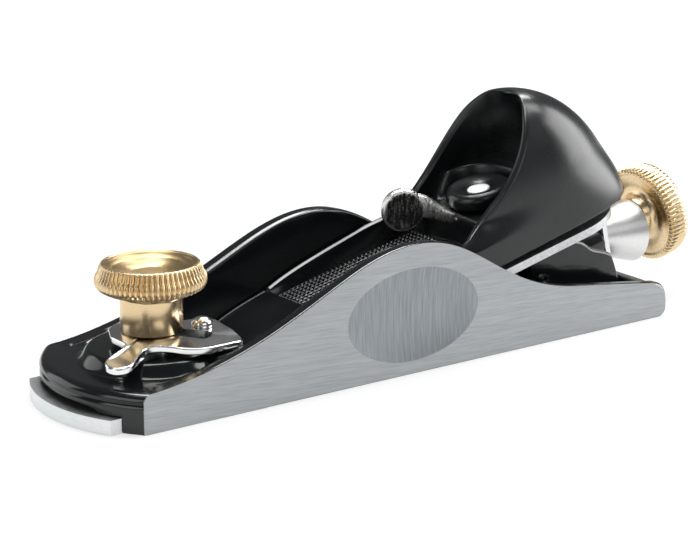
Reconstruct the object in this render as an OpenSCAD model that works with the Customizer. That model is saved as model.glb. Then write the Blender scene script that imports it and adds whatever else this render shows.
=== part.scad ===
// Low-angle block plane with an adjustable mouth.
// Toe towards -X, heel towards +X, sole on Z = 0, millimetres.

/* [Body] */
// Overall width over the two ground sides
body_w = 44.4; // [42:0.2:48]
// Length of the straight part of the ground sides
side_l = 152; // [144:1:160]
// How far the bowed toe stands in front of the straight sides
toe_bow = 8.3; // [6:0.1:10]
// How far the bowed heel stands behind the straight sides
heel_bow = 1; // [0.6:0.1:3]
// Thickness of each side wall
side_t = 3.9; // [3.4:0.1:4.2]
// Thickness of the sole
sole_t = 4; // [3.5:0.1:5]
// Height of the toe deck and of the side walls at the toe
toe_h = 9; // [8:0.1:10]
// Height of the raised pad that the front knob clamps down on
pad_h = 12; // [11:0.1:12.8]
// Radius of the raised pad round the front knob
pad_r = 14.2; // [12:0.1:16]
// Height of the side walls at the top of the hump
hump_h = 30.7; // [28:0.1:33]
// Place of the hump's top along the plane
hump_x = -3; // [-8:0.5:2]
// Height of the side walls at the heel
rear_h = 9; // [8:0.1:10]
// Rounding of the heel's top corner in side view
heel_round = 3.5; // [2:0.1:5]
// Rounding of the heel's lower corner in side view
foot_round = 2; // [1:0.1:3]
// How far the heel's end wall stays below the side walls
heel_dip = 1.2; // [0.6:0.1:2]
// Thickness of the heel's end wall
heel_t = 4.2; // [3:0.1:6]
// Half length of the oval finger hollow in each side
hollow_a = 18.8; // [14:0.2:22]
// Half height of the oval finger hollow
hollow_b = 11; // [8:0.2:12]
// Depth of the finger hollow
hollow_d = 1.1; // [0.6:0.1:1.6]
// Height of the finger hollow's centre above the sole
hollow_z = 14.2; // [13:0.1:15]

/* [Bed and mouth] */
// Angle of the cutter above the sole
bed_angle = 13.5; // [12:0.5:14]
// Place where the bed meets the sole
bed_x = -42.1; // [-44:0.1:-40]
// Length of the solid bed behind the mouth
bed_l = 32; // [24:1:40]
// Open mouth between the throat plate and the cutting edge
mouth_gap = 2; // [1.9:0.1:2.6]
// Clear space between the toe block and the mouth's front edge
chip_gap = 0.6; // [0.2:0.1:1.5]

/* [Throat plate] */
// Thickness of the sliding throat plate
plate_t = 3.4; // [2.8:0.1:3.6]
// Width of the throat plate
plate_w = 36; // [34:0.2:36.4]
// How far its front lip stands out of the toe
lip_out = 2.3; // [2.3:0.1:4]
// Travel that closes the mouth
plate_travel = 1.6; // [1:0.1:1.7]
// Height of the shallow relief above the lip
lip_relief = 1.4; // [0.5:0.1:2]
// Width of that relief
relief_w = 27; // [20:1:32]

/* [Front knob] */
// Distance of the knob behind the foremost point of the toe
knob_back = 23.9; // [22:0.1:26]
// Diameter of the knob over its knurling
knob_d = 25; // [22:0.5:28]
// Diameter of the knob's plain stem
stem_d = 14; // [12:0.5:16]
// Height of the stem up to the flare
stem_h = 6.6; // [5:0.1:9]
// Height of the knob's head above the stem
head_h = 9; // [7:0.1:12]
// Diameter of the dished top
dish_d = 19.6; // [16:0.2:21]
// Depth of the dish
dish_depth = 1.3; // [0.6:0.1:2]
// Diameter of the threaded stud under the knob
stud_d = 6.4; // [5:0.1:7]
// Height of the stud's end above the knob's foot
stud_in_knob = 9; // [6:0.5:11]

/* [Throat lever] */
// Thickness of the lever plate
lever_t = 1.6; // [1.2:0.1:2]
// Radius of the plate round the knob's stem
lever_eye_r = 9; // [8.6:0.1:10]
// Distance of the pivot behind the knob
pivot_dx = 10.8; // [10.6:0.1:11.4]
// Distance of the pivot to the left of the middle
pivot_dy = 3.6; // [3:0.1:4]
// Swing of the lever that closes the mouth by the plate's travel
lever_swing = 40; // [30:1:50]
// Turn that the curved slot spans
slot_turn = 70; // [60:1:76]
// Diameter of the pivot rivet
rivet_d = 4; // [3:0.1:4.4]
// Diameter of the rivet's domed head
rivet_head_d = 4.8; // [4.5:0.1:5]
// Reach of the finger tongue from the knob
tongue_l = 13.6; // [12:0.1:16]
// Width of the finger tongue
tongue_w = 7.6; // [6:0.2:9]
// Turn of the tongue from the toe's direction, to the near side
tongue_turn = 29; // [22:1:34]
// Downward slope of the tongue beyond the eye
tongue_slope = 9; // [6:1:14]

/* [Cutter] */
// Width of the cutter
cutter_w = 35; // [32:0.5:35.4]
// Length of the cutter along the bed
cutter_l = 115; // [110:1:118]
// Thickness of the cutter
cutter_t = 2; // [1.6:0.1:2.4]
// Ground bevel of the cutting edge
bevel = 25; // [23:1:30]
// Distance of the edge up the bed, clear of the sole
edge_back = 1.3; // [1:0.1:2]
// Width of the long slot in the cutter
cutter_slot_w = 8.4; // [8.2:0.1:8.8]
// Front end of the long slot, up the bed
cutter_slot_front = 66; // [60:0.5:68]
// Rear end of the long slot, up the bed
cutter_slot_rear = 105; // [103:0.5:107]

/* [Lever cap] */
// Width of the lever cap
cap_w = 35; // [33:0.5:35.4]
// Front end of the cap, up the bed
cap_front = 8; // [6:0.5:12]
// Rear end of the cap, up the bed
cap_rear = 120.5; // [118:0.5:123]
// Rise of the hood's top above the bed plane
hood_h = 37.2; // [34:0.1:39]
// Place of the hood's top, up the bed
hood_top = 93; // [91:0.5:96]
// Height of the thumb hollow's floor above the bed plane
thumb_floor = 8.3; // [7.6:0.1:9]
// Half width of the thumb hollow's floor
thumb_w = 11; // [9:0.5:13]
// Gap between the cap and the cutter behind the nose
cap_gap = 0.9; // [0.4:0.1:1.4]
// Thickness of the cap's floor
cap_floor_t = 2.4; // [2:0.1:3]
// Wall of the hood behind its front scoop
hood_wall = 3.4; // [2.6:0.1:4.5]

/* [Cap screw and cam lever] */
// Place of the cap screw, up the bed
screw_u = 81; // [79:0.5:83]
// Diameter of the cap screw's shank
screw_d = 4.6; // [4:0.1:5]
// Diameter of the cap screw's head
screw_head_d = 7.6; // [7:0.1:8.6]
// Top of the cap's round collar above the bed plane
collar_top = 15.7; // [15:0.1:16.5]
// Thickness of the collar
collar_t = 3.6; // [3:0.1:4]
// Diameter of the collar
collar_d = 14.4; // [13:0.2:16]
// Diameter of the cam lever's hub
cam_hub_d = 17; // [15:0.5:18]
// Reach of the cam lever to its finger tab
cam_l = 19.2; // [18:0.2:21]
// Diameter of the round finger tab
tab_d = 10.8; // [9:0.2:12]
// Thickness of the finger tab
tab_t = 2.8; // [2:0.1:3.4]
// Turn of the locked lever away from the middle, to the right side
cam_rest = 25; // [20:1:28]

/* [Rear adjuster] */
// Depth of the adjusting screw below the bed plane
axis_drop = 10.5; // [10:0.1:11.5]
// Diameter of the adjusting screw
adj_d = 5; // [4:0.1:5.6]
// Middle of the brass wheel, up the bed
wheel_u = 133.6; // [132:0.1:136]
// Diameter of the brass wheel over its knurling
wheel_d = 25.2; // [22:0.2:28]
// Width of the wheel's rim
wheel_t = 6.4; // [5:0.1:8]
// Diameter of the wheel's hub
hub_d = 10; // [8.4:0.1:11]
// Length of the wheel's hub in front of the rim
hub_l = 2; // [1.6:0.1:2.4]
// Half width of the rear post
post_w = 10; // [9.4:0.1:11]
// Rear face of the post, up the bed
post_rear = 111; // [110:0.5:112]
// Front face of the post, up the bed
post_front = 84; // [82:0.5:86]
// Place of the lateral lever's pivot, up the bed
lat_u = 107.8; // [107.5:0.1:108.2]
// Distance from that pivot to the disc in the cutter's slot
disc_arm = 13; // [11:0.5:14]
// Diameter of the disc in the cutter's slot
disc_d = 7.6; // [7:0.1:7.8]
// Mouth diameter of the flared finger grip
grip_d = 16.2; // [14:0.2:18]
// Small diameter of the flared finger grip
grip_neck_d = 9.6; // [9:0.2:11]
// Sheet thickness of the lateral lever
lat_t = 1.4; // [1:0.1:1.6]

/* [Fits] */
// Running clearance on the radius of shafts and pins
run_fit = 0.08; // [0.04:0.01:0.1]
// Clearance between faces that slide on each other
face_fit = 0.15; // [0.1:0.01:0.3]
// Clearance between pieces that pass each other
pass_fit = 0.3; // [0.25:0.05:0.5]

/* [Hidden] */
$fn = 64;
eps = 0.01;
far = 300;

half_w = body_w / 2;
half_l = side_l / 2;
toe_x = -half_l - toe_bow;
heel_x = half_l + heel_bow;
toe_r = (half_w * half_w + toe_bow * toe_bow) / (2 * toe_bow);
heel_r = (half_w * half_w + heel_bow * heel_bow) / (2 * heel_bow);
in_w = half_w - side_t;
knob_x = toe_x + knob_back;
rivet_x = knob_x + pivot_dx;
rivet_y = -pivot_dy;
plate_rear = bed_x - mouth_gap;
block_rear = plate_rear - chip_gap;
lever_z = pad_h + lever_t;
lever_top = lever_z + lever_t;
knob_z = lever_top + face_fit;
adj_w = -axis_drop;
bed_sin = sin(bed_angle);
bed_cos = cos(bed_angle);
seat_x = bed_x + face_fit / bed_sin;

// Point on a cubic curve through a, towards b and c, to d.
function curve(a, b, c, d, t) =
    pow(1 - t, 3) * a + 3 * pow(1 - t, 2) * t * b + 3 * (1 - t) * t * t * c + t * t * t * d;
function curve_points(a, b, c, d, n) = [for (i = [0:n]) curve(a, b, c, d, i / n)];
// Points of an arc about [cx, cy].
function arc(cx, cy, r, a0, a1, n) =
    [for (i = [0:n]) [cx + r * cos(a0 + (a1 - a0) * i / n), cy + r * sin(a0 + (a1 - a0) * i / n)]];

// Outline of a side wall in side view.
side_profile = concat(
    [[-far / 2, 0], [-far / 2, toe_h]],
    curve_points([-half_l + 3, toe_h], [hump_x - 34, toe_h + 3.8], [hump_x - 20, hump_h],
                 [hump_x, hump_h], 20),
    curve_points([hump_x, hump_h], [hump_x + 18, hump_h], [hump_x + 25, rear_h + 6.2],
                 [hump_x + 50, rear_h + 3.6], 20),
    arc(heel_x - heel_round, rear_h - heel_round, heel_round, 90, 0, 10),
    arc(heel_x - foot_round, foot_round, foot_round, 0, -90, 8));

// Puts its children on the bed: x runs up the bed and z stands square to it.
module on_bed() {
    translate([bed_x, 0, 0]) rotate([0, -bed_angle, 0]) children();
}
// A side-view outline in x and z, spread evenly about the middle plane.
module side_slab(points, w) {
    translate([0, w / 2, 0]) rotate([90, 0, 0]) linear_extrude(height = w) polygon(points);
}
// A cylinder whose axis runs along x.
module rod_x(r, x0, x1) {
    translate([x0, 0, 0]) rotate([0, 90, 0]) cylinder(r = r, h = x1 - x0);
}
// A box from its low corner to its high corner.
module block(a, b) {
    translate(a) cube(b - a);
}
// Plan of the body with bowed toe and heel, drawn in by a margin at the sides and one at the heel.
module plan(in = 0, end = 0) {
    intersection() {
        square([far, body_w - 2 * in], center = true);
        translate([toe_x + toe_r, 0]) union() {
            circle(r = toe_r - in, $fn = 180);
            translate([0, -far / 2]) square([far, far]);
        }
        translate([heel_x - heel_r, 0]) union() {
            circle(r = heel_r - end, $fn = 360);
            translate([-far, -far / 2]) square([far, far]);
        }
    }
}

// ---------- Body ----------
seat_z = lever_z - face_fit;
deck_front = toe_x - 1;
wall_u = post_rear - 6;
notch_u = post_rear - 14;
notch_l = 3;
slide_front = notch_u - 4;
slide_low = adj_w - adj_d / 2 - 1.6;
tooth_t = 2;
tooth_mid = adj_d / 2 + 3.3;
tooth_out = tooth_mid + tooth_t / 2;
well_u = slide_front - 2.6;
well_w = tooth_out + pass_fit;
screw_end = adj_w - 3.5;
pin_d = 3;
pin_u = well_u - pin_d / 2 - 0.5;
pin_w = adj_w + 1.1;

module finger_hollow(side) {
    ra = (hollow_a * hollow_a + hollow_d * hollow_d) / (2 * hollow_d);
    rb = (hollow_b * hollow_b + hollow_d * hollow_d) / (2 * hollow_d);
    lobe = arc(-ra + rb, 0, ra, -9, 9, 24);
    translate([hump_x - 1, side * (half_w + rb - hollow_d), hollow_z]) rotate([0, 90, 0])
        rotate_extrude($fn = 180) polygon(concat([[0, lobe[0][1]]], lobe, [[0, lobe[24][1]]]));
}
module stud_slot(r) {
    for (x = [0, plate_travel]) translate([knob_x + x, 0, 0]) cylinder(r = r, h = seat_z + 1);
    block([knob_x, -r, 0], [knob_x + plate_travel, r, seat_z + 1]);
}
module raised_pad() {
    rise = pad_h - toe_h;
    intersection() {
        union() {
            translate([knob_x, 0, toe_h - eps])
                cylinder(r1 = pad_r + rise, r2 = pad_r, h = rise + eps, $fn = 128);
            side_slab([[knob_x + 4, toe_h - eps], [knob_x + 4 + rise, pad_h], [block_rear, pad_h],
                       [block_rear, toe_h - eps]], 2 * in_w + 1);
        }
        block([toe_x, -in_w - 0.5, 0], [block_rear, in_w + 0.5, pad_h]);
    }
    seat_h = seat_z - pad_h + eps;
    translate([knob_x + plate_travel / 2, 0, pad_h - eps]) cylinder(r = lever_eye_r - 2, h = seat_h);
    translate([rivet_x, rivet_y, pad_h - eps]) cylinder(d = rivet_head_d, h = seat_h);
}
module bed_ramp() {
    rear = bed_x + bed_l * bed_cos;
    side_slab([[seat_x, 0], [rear, (rear - seat_x) * tan(bed_angle)], [rear + 3, sole_t - eps], [rear, 0]],
              2 * in_w + 1);
}
// Side view of the post: the top falls away behind the cutter's slide.
module rear_post() {
    boss_r = adj_d / 2 + 2.8;
    intersection() {
        on_bed() union() {
            side_slab([[post_front, -40], [post_front, -face_fit], [notch_u + 1, -face_fit],
                       [notch_u + notch_l, -4], [post_rear - 7.5, -5.2], [post_rear - 5.6, -8],
                       [post_rear - 0.6, adj_w - 0.4], [post_rear, adj_w - 1.5],
                       [post_rear + 0.6, -40]], 2 * post_w);
            block([post_rear - 14, -boss_r, adj_w], [post_rear, boss_r, -face_fit]);
            translate([screw_u, 0, -40]) cylinder(r = screw_d / 2 + 3.4, h = 40 - 1.2);
            translate([0, 0, adj_w]) rod_x(boss_r, post_rear - 10, post_rear + 1.6);
        }
        block([bed_x, -half_w, sole_t - 1], [heel_x, half_w, far]);
    }
}
module post_cuts() {
    on_bed() {
        block([well_u, -well_w, slide_low - 0.5], [wall_u, well_w, 10]);
        block([lat_u - disc_arm - 5, -5, -lat_t - 1.1], [post_rear + 5, 5, 10]);
        translate([0, 0, adj_w]) rod_x(adj_d / 2 + run_fit, wall_u - 1, post_rear + 5);
        translate([lat_u, 0, -7]) cylinder(d = 3, h = 10);
        translate([screw_u, 0, screw_end - 1]) cylinder(d = screw_d, h = 30);
        translate([pin_u, 0, pin_w]) rotate([90, 0, 0])
            cylinder(d = pin_d, h = 2 * post_w + 2, center = true);
    }
}
module body() {
    floor_front = block_rear;
    floor_rear = heel_x - heel_t;
    color([0.07, 0.08, 0.09]) difference() {
        union() {
            difference() {
                intersection() {
                    linear_extrude(height = hump_h + 5) plan();
                    side_slab(side_profile, body_w + 2);
                }
                block([deck_front, -in_w, toe_h], [block_rear + eps, in_w, far]);
                intersection() {
                    block([floor_front, -in_w, sole_t], [heel_x, in_w, far]);
                    linear_extrude(height = far) plan(side_t, heel_t);
                }
            }
            raised_pad();
            bed_ramp();
            rear_post();
        }
        block([floor_rear - 1, -in_w, rear_h - heel_dip], [heel_x + 1, in_w, far]);
        for (side = [-1, 1]) finger_hollow(side);
        block([-far, -plate_w / 2 - face_fit, -1],
              [plate_rear + eps, plate_w / 2 + face_fit, plate_t + face_fit]);
        block([-far, -relief_w / 2, 0], [toe_x + 5, relief_w / 2, plate_t + lip_relief]);
        side_slab([[block_rear, -1], [seat_x, -1], [seat_x, 0], [seat_x + 24, 24 * tan(bed_angle)],
                   [block_rear, 24 * tan(bed_angle)]], plate_w + 2 * face_fit);
        stud_slot(stud_d / 2 + pass_fit);
        translate([rivet_x, rivet_y, plate_t + 2]) cylinder(d = rivet_d, h = 20);
        post_cuts();
    }
}

// ---------- Toe: throat plate, stud, lever and knob ----------
lip_r = toe_r + lip_out;

module throat_plate() {
    color([0.72, 0.73, 0.74]) difference() {
        intersection() {
            block([toe_x - lip_out, -plate_w / 2, 0], [plate_rear, plate_w / 2, plate_t]);
            translate([toe_x + toe_r, 0, 0]) union() {
                cylinder(r = lip_r, h = plate_t, $fn = 180);
                block([0, -far, 0], [far, far, plate_t]);
            }
        }
        side_slab([[plate_rear - 2.4, plate_t + eps], [plate_rear - 0.5, 0.9], [plate_rear + 1, 0.9],
                   [plate_rear + 1, plate_t + eps]], plate_w + 2);
        translate([knob_x, 0, -1]) cylinder(d = stud_d, h = plate_t + 2);
    }
}
module throat_stud() {
    color([0.62, 0.63, 0.65]) translate([knob_x, 0, 0.3])
        cylinder(d = stud_d, h = knob_z + stud_in_knob - 0.3);
}
// Middle of the lever's curved slot after a turn: the stud's place seen from the turned lever.
function slot_mid(turn) =
    let (s = knob_x + plate_travel * turn / lever_swing - rivet_x, q = -rivet_y)
    [rivet_x + s * cos(turn) - q * sin(turn), rivet_y + s * sin(turn) + q * cos(turn)];
function slot_side(turn, off) =
    let (p = slot_mid(turn), d = slot_mid(turn + 0.5) - slot_mid(turn - 0.5), n = norm(d))
    [p[0] - off * d[1] / n, p[1] + off * d[0] / n];
module lever_slot(r) {
    steps = 16;
    a = [for (i = [0:steps]) slot_side(slot_turn * i / steps, r)];
    b = [for (i = [steps:-1:0]) slot_side(slot_turn * i / steps, -r)];
    linear_extrude(height = 40) polygon(concat(a, b));
    for (t = [0, slot_turn]) translate(slot_mid(t)) cylinder(r = r, h = 40);
}
module throat_lever() {
    slot_end = slot_mid(slot_turn);
    slot_r = stud_d / 2 + run_fit * 2;
    bend_r = lever_eye_r + 0.2;
    tongue_end = tongue_l + tongue_w / 2 + 1;
    tongue_drop = (tongue_end - bend_r) * tan(tongue_slope);
    color([0.8, 0.81, 0.82]) difference() {
        union() {
            translate([0, 0, lever_z]) linear_extrude(height = lever_t) hull() {
                translate([knob_x, 0]) circle(r = lever_eye_r, $fn = 48);
                translate([rivet_x, rivet_y]) circle(r = rivet_head_d / 2 + 2.4, $fn = 32);
                translate([slot_end[0] + 4.2, slot_end[1] + 1]) circle(r = slot_r + 4, $fn = 32);
            }
            translate([knob_x, 0, lever_z]) rotate([0, 0, 180 + tongue_turn]) intersection() {
                rotate([90, 0, 0]) linear_extrude(height = tongue_w + 2, center = true)
                    polygon([[0, 0], [bend_r, 0], [tongue_end, -tongue_drop],
                             [tongue_end, lever_t - tongue_drop], [bend_r, lever_t], [0, lever_t]]);
                translate([0, 0, -tongue_drop - 1]) linear_extrude(height = tongue_drop + lever_t + 2) {
                    translate([0, -tongue_w / 2]) square([tongue_l, tongue_w]);
                    translate([tongue_l, 0]) circle(d = tongue_w);
                }
            }
        }
        lever_slot(slot_r);
        translate([rivet_x, rivet_y, 0]) cylinder(r = rivet_d / 2 + run_fit, h = 40);
    }
}
module lever_pivot() {
    base = plate_t + 2;
    color([0.8, 0.81, 0.82]) translate([rivet_x, rivet_y, 0]) rotate_extrude()
        polygon(concat([[0, base], [rivet_d / 2, base], [rivet_d / 2, lever_top + face_fit],
                        [rivet_head_d / 2, lever_top + face_fit], [rivet_head_d / 2, lever_top + 0.7]],
                       arc(0, lever_top + 0.7, rivet_head_d / 2, 10, 90, 9)));
}
// Half outline of the knob's head: radius and height above the stem's top.
function head_outline(r, rim) = concat(
    curve_points([stem_d / 2, 0], [stem_d / 2 + 0.4, 0.9], [r - 2.6, 0.9], [r - 1.3, 2], 8),
    curve_points([r - 0.3, 2.4], [r + 0.1, 3.6], [r + 0.1, 5.2], [r - 0.4, 6.4], 8),
    curve_points([r - 0.9, 6.9], [r - 1.2, 8.4], [rim + 0.6, head_h], [rim, head_h], 8),
    curve_points([rim - 0.5, head_h], [rim - 1.5, head_h - dish_depth], [rim * 0.5, head_h - dish_depth],
                 [0, head_h - dish_depth], 8));
module front_knob() {
    color([0.78, 0.62, 0.32]) translate([knob_x, 0, knob_z]) difference() {
        rotate_extrude($fn = 96) polygon(concat([[0, 0], [stem_d / 2 - 0.3, 0], [stem_d / 2, 0.3]],
            [for (p = head_outline(knob_d / 2, dish_d / 2)) [p[0], p[1] + stem_h]]));
        translate([0, 0, -1]) cylinder(r = stud_d / 2 + run_fit, h = stud_in_knob + 1.5);
    }
}

// ---------- Cutter ----------
module cutter() {
    edge_l = cutter_t / tan(bevel);
    tail_u = edge_back + cutter_l - cutter_w / 2;
    color([0.75, 0.76, 0.78]) on_bed() difference() {
        union() {
            side_slab([[edge_back, 0], [edge_back + edge_l, cutter_t], [tail_u, cutter_t], [tail_u, 0]],
                      cutter_w);
            translate([tail_u, 0, 0]) cylinder(d = cutter_w, h = cutter_t, $fn = 128);
        }
        for (u = [cutter_slot_front, cutter_slot_rear])
            translate([u, 0, -1]) cylinder(d = cutter_slot_w, h = cutter_t + 2);
        block([cutter_slot_front, -cutter_slot_w / 2, -1],
              [cutter_slot_rear, cutter_slot_w / 2, cutter_t + 2]);
        block([notch_u - face_fit, -tooth_out - 1, -1],
              [notch_u + notch_l + face_fit, tooth_out + 1, cutter_t + 2]);
    }
}

// ---------- Lever cap ----------
cap_half = cap_w / 2;
cap_low = cutter_t + face_fit;
tail_r = cap_half;
hub_low = thumb_floor + pass_fit;
hub_top = collar_top - collar_t - pass_fit;
shank_hole_r = screw_d / 2 + pass_fit;
bush_r = shank_hole_r + 1.2;
head_hole_r = screw_head_d / 2 + 1.2;
head_seat = collar_top - 2.2;
bush_low = thumb_floor - cap_floor_t;

// Plan of the cap with its round rear end, drawn in by a margin.
module cap_plan(in = 0, front = cap_front) {
    translate([front, -cap_half + in]) square([cap_rear - tail_r - front, cap_w - 2 * in]);
    translate([cap_rear - tail_r, 0]) circle(r = tail_r - in, $fn = 96);
}
// The hood as level slices: half width and rear end at a height above the bed, from two oval laws.
hood_foot = 3;
function hood_rise(w) = (w - hood_foot) / (hood_h - hood_foot);
function hood_half(w) = cap_half * pow(1 - pow(hood_rise(w), 2.4), 1 / 2.4);
function hood_rear(w) = (cap_rear - hood_top) * pow(1 - pow(hood_rise(w), 1.8), 1 / 1.8);
module hood_slice(w) {
    half = hood_half(w);
    translate([hood_top, 0, w]) linear_extrude(height = 0.1)
        polygon([for (a = [0:7.5:359])
            [(abs(a - 180) < 90 ? hood_front : hood_rear(w)) * cos(a), half * sin(a)]]);
}
hood_front = 48;
rim_line = curve_points([64, 9], [76, 16.5], [86.5, 24], [hood_top + 3, hood_h + 1], 10);
module hood() {
    intersection() {
        hull() {
            translate([0, 0, 5]) linear_extrude(height = 4) cap_plan(0, 60);
            for (step = [0.28, 0.42, 0.55, 0.68, 0.8, 0.9, 0.96, 0.995])
                hood_slice(hood_foot + step * (hood_h - hood_foot));
        }
        side_slab(concat(rim_line, [[cap_rear + 5, hood_h + 1], [cap_rear + 5, 4], [64, 4]]), cap_w + 2);
    }
}
module scoop() {
    r = cap_half - hood_wall;
    hull() {
        translate([screw_u - 14, 0, 32]) sphere(r = r - 1, $fn = 32);
        translate([screw_u - 4, 0, 24]) sphere(r = r - 0.6, $fn = 32);
        translate([screw_u + 7, 0, 21.5]) sphere(r = r - 2.6, $fn = 32);
        translate([screw_u + 6, 0, 27]) sphere(r = r - 6.5, $fn = 32);
    }
}
module cap_shell() {
    rise = 5.4;
    side_top = concat(
        curve_points([cap_front, cap_low + 1], [cap_front + 3, cap_low + 3.4], [cap_front + 9, 6.6],
                     [cap_front + 17.5, 7], 8),
        [[62, 7 + rise], [72, 7 + rise + 3], [74, 10]]);
    intersection() {
        side_slab(concat(side_top, [[cap_rear + 1, 10], [cap_rear + 1, cap_low + cap_gap + 1],
                  [16, cap_low + cap_gap], [12, cap_low], [cap_front, cap_low]]), cap_w);
        linear_extrude(height = 40) cap_plan();
    }
    hood();
}
module thumb_hollow() {
    slope = atan((thumb_floor - 6.6) / 49);
    translate([25, 0, 6.6]) rotate([0, -slope, 0]) rotate([90, 0, 90]) linear_extrude(height = 56)
        polygon([[-thumb_w, 0], [thumb_w, 0], [cap_half - 0.6, 5.6], [cap_half - 0.6, 20],
                 [-cap_half + 0.6, 20], [-cap_half + 0.6, 5.6]]);
}
module lever_cap() {
    color([0.05, 0.055, 0.06]) on_bed() {
        difference() {
            union() {
                difference() {
                    cap_shell();
                    thumb_hollow();
                    scoop();
                    translate([screw_u, 0, thumb_floor]) cylinder(d = cam_hub_d + 2 * pass_fit, h = 8);
                }
                translate([screw_u, 0, collar_top - collar_t]) cylinder(d = collar_d, h = collar_t);
                block([screw_u, -collar_d / 2 + 1, collar_top - collar_t],
                      [screw_u + 16, collar_d / 2 - 1, collar_top - 0.4]);
            }
            side_slab([[22, 0], [26, 6.6 - cap_floor_t], [screw_u - 8, thumb_floor - cap_floor_t],
                       [cap_rear - 12, thumb_floor - cap_floor_t], [cap_rear - 8, 0]], cap_w - 7);
            translate([screw_u, 0, 0]) cylinder(r = bush_r, h = thumb_floor + 1);
            translate([screw_u, 0, head_seat]) cylinder(r1 = head_hole_r - 1.4, r2 = head_hole_r, h = 2.3);
            translate([screw_u, 0, 0]) cylinder(r = shank_hole_r, h = 20);
        }
    }
}
module cap_screw() {
    color([0.8, 0.81, 0.82]) on_bed() translate([screw_u, 0, 0]) rotate_extrude()
        polygon(concat([[0, screw_end], [screw_d / 2, screw_end], [screw_d / 2, head_seat + face_fit],
                        [screw_head_d / 2 - 1, head_seat + face_fit]],
                       curve_points([screw_head_d / 2, collar_top - 1.2], [screw_head_d / 2, collar_top - 0.5],
                                    [screw_head_d / 2 - 1, collar_top - 0.3], [0, collar_top - 0.2], 8)));
}
module cam_pivot() {
    color([0.7, 0.71, 0.72]) on_bed() translate([screw_u, 0, 0]) difference() {
        translate([0, 0, bush_low]) cylinder(r = bush_r, h = collar_top - collar_t - bush_low);
        cylinder(r = shank_hole_r, h = far);
    }
}
module cam_lever() {
    neck_u = cam_hub_d / 2 - 0.6;
    neck_top = hub_low + 0.56 * tab_d;
    tab_w = hub_low + 0.67 * tab_d;
    tab_edge = cam_l - 0.4 * tab_d;
    color([0.55, 0.56, 0.57]) on_bed() translate([screw_u, 0, 0]) rotate([0, 0, -cam_rest]) difference() {
        union() {
            translate([0, 0, hub_low]) cylinder(d = cam_hub_d, h = hub_top - hub_low);
            side_slab([[-neck_u, hub_low], [-neck_u, hub_top], [-neck_u - 0.4, neck_top],
                       [-tab_edge, neck_top + 0.6], [-tab_edge, hub_low + 0.2 * tab_d],
                       [-tab_edge + 0.28 * tab_d, hub_low + 0.6]], tab_t + 0.2);
            translate([-cam_l, tab_t / 2, tab_w]) rotate([90, 0, 0]) cylinder(d = tab_d, h = tab_t);
        }
        cylinder(r = bush_r + run_fit, h = far);
    }
}

// ---------- Rear adjuster ----------
wheel_pin_d = 1.2;
wheel_pin_u = wheel_u - wheel_t / 2 - hub_l / 2;

module lateral_lever() {
    top = -pass_fit;
    riser = post_rear + 2.4;
    grip_l = wheel_u - wheel_t / 2 - hub_l - riser - 2;
    r0 = grip_neck_d / 2;
    r1 = grip_d / 2;
    disc_u = lat_u - disc_arm;
    color([0.83, 0.84, 0.85]) on_bed() difference() {
        union() {
            translate([disc_u, 0, top - lat_t]) cylinder(r = 3.2, h = lat_t);
            block([disc_u, -3.2, top - lat_t], [riser + lat_t, 3.2, top]);
            block([riser, -5.4, adj_w - r0], [riser + lat_t, 5.4, top]);
            translate([riser + lat_t, 0, adj_w]) rotate([0, 90 + bed_angle, 0]) rotate_extrude()
                polygon([[r0 - lat_t, -0.4], [r0, -0.4], [r1, grip_l - lat_t], [r1 - lat_t, grip_l - lat_t]]);
        }
        translate([0, 0, adj_w]) rod_x(r0 - lat_t, riser - 5, riser + 5);
        translate([lat_u, 0, -20]) cylinder(r = 1.5 + run_fit, h = 30);
        translate([disc_u, 0, -20]) cylinder(d = 2.4, h = 30);
    }
}
module lateral_pivot() {
    color([0.7, 0.71, 0.72]) on_bed() translate([lat_u, 0, -6.8]) cylinder(d = 3, h = 6.7);
}
module lateral_disc() {
    color([0.7, 0.71, 0.72]) on_bed() translate([lat_u - disc_arm, 0, -pass_fit]) difference() {
        cylinder(d = disc_d, h = cutter_t);
        translate([0, 0, -1]) cylinder(d = 2.4, h = 10);
    }
}
module disc_rivet() {
    color([0.7, 0.71, 0.72]) on_bed() translate([lat_u - disc_arm, 0, -pass_fit - lat_t])
        cylinder(d = 2.4, h = lat_t + cutter_t);
}
module adjuster_slide() {
    slide_rear = notch_u + notch_l;
    color([0.6, 0.6, 0.62]) on_bed() difference() {
        union() {
            block([slide_front, -tooth_out, slide_low], [slide_rear, tooth_out, adj_w + adj_d / 2 + 1.8]);
            for (side = [-1, 1])
                block([notch_u, side * tooth_mid - tooth_t / 2, adj_w],
                      [slide_rear, side * tooth_mid + tooth_t / 2, cutter_t - 0.4]);
        }
        translate([0, 0, adj_w]) rod_x(adj_d / 2 + run_fit, slide_front - 1, slide_rear + 1);
    }
}
module depth_screw() {
    color([0.66, 0.67, 0.69]) on_bed() translate([0, 0, adj_w]) difference() {
        rod_x(adj_d / 2, well_u + 0.4, wheel_u + wheel_t / 2);
        translate([wheel_pin_u, 0, 0]) rotate([90, 0, 0]) cylinder(d = wheel_pin_d, h = hub_d, center = true);
    }
}
module screw_ring() {
    color([0.6, 0.6, 0.62]) on_bed() translate([0, 0, adj_w]) difference() {
        rod_x(adj_d / 2 + 1.6, wall_u - 1.5, wall_u - face_fit);
        rod_x(adj_d / 2, wall_u - 3, wall_u + 1);
    }
}
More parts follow.
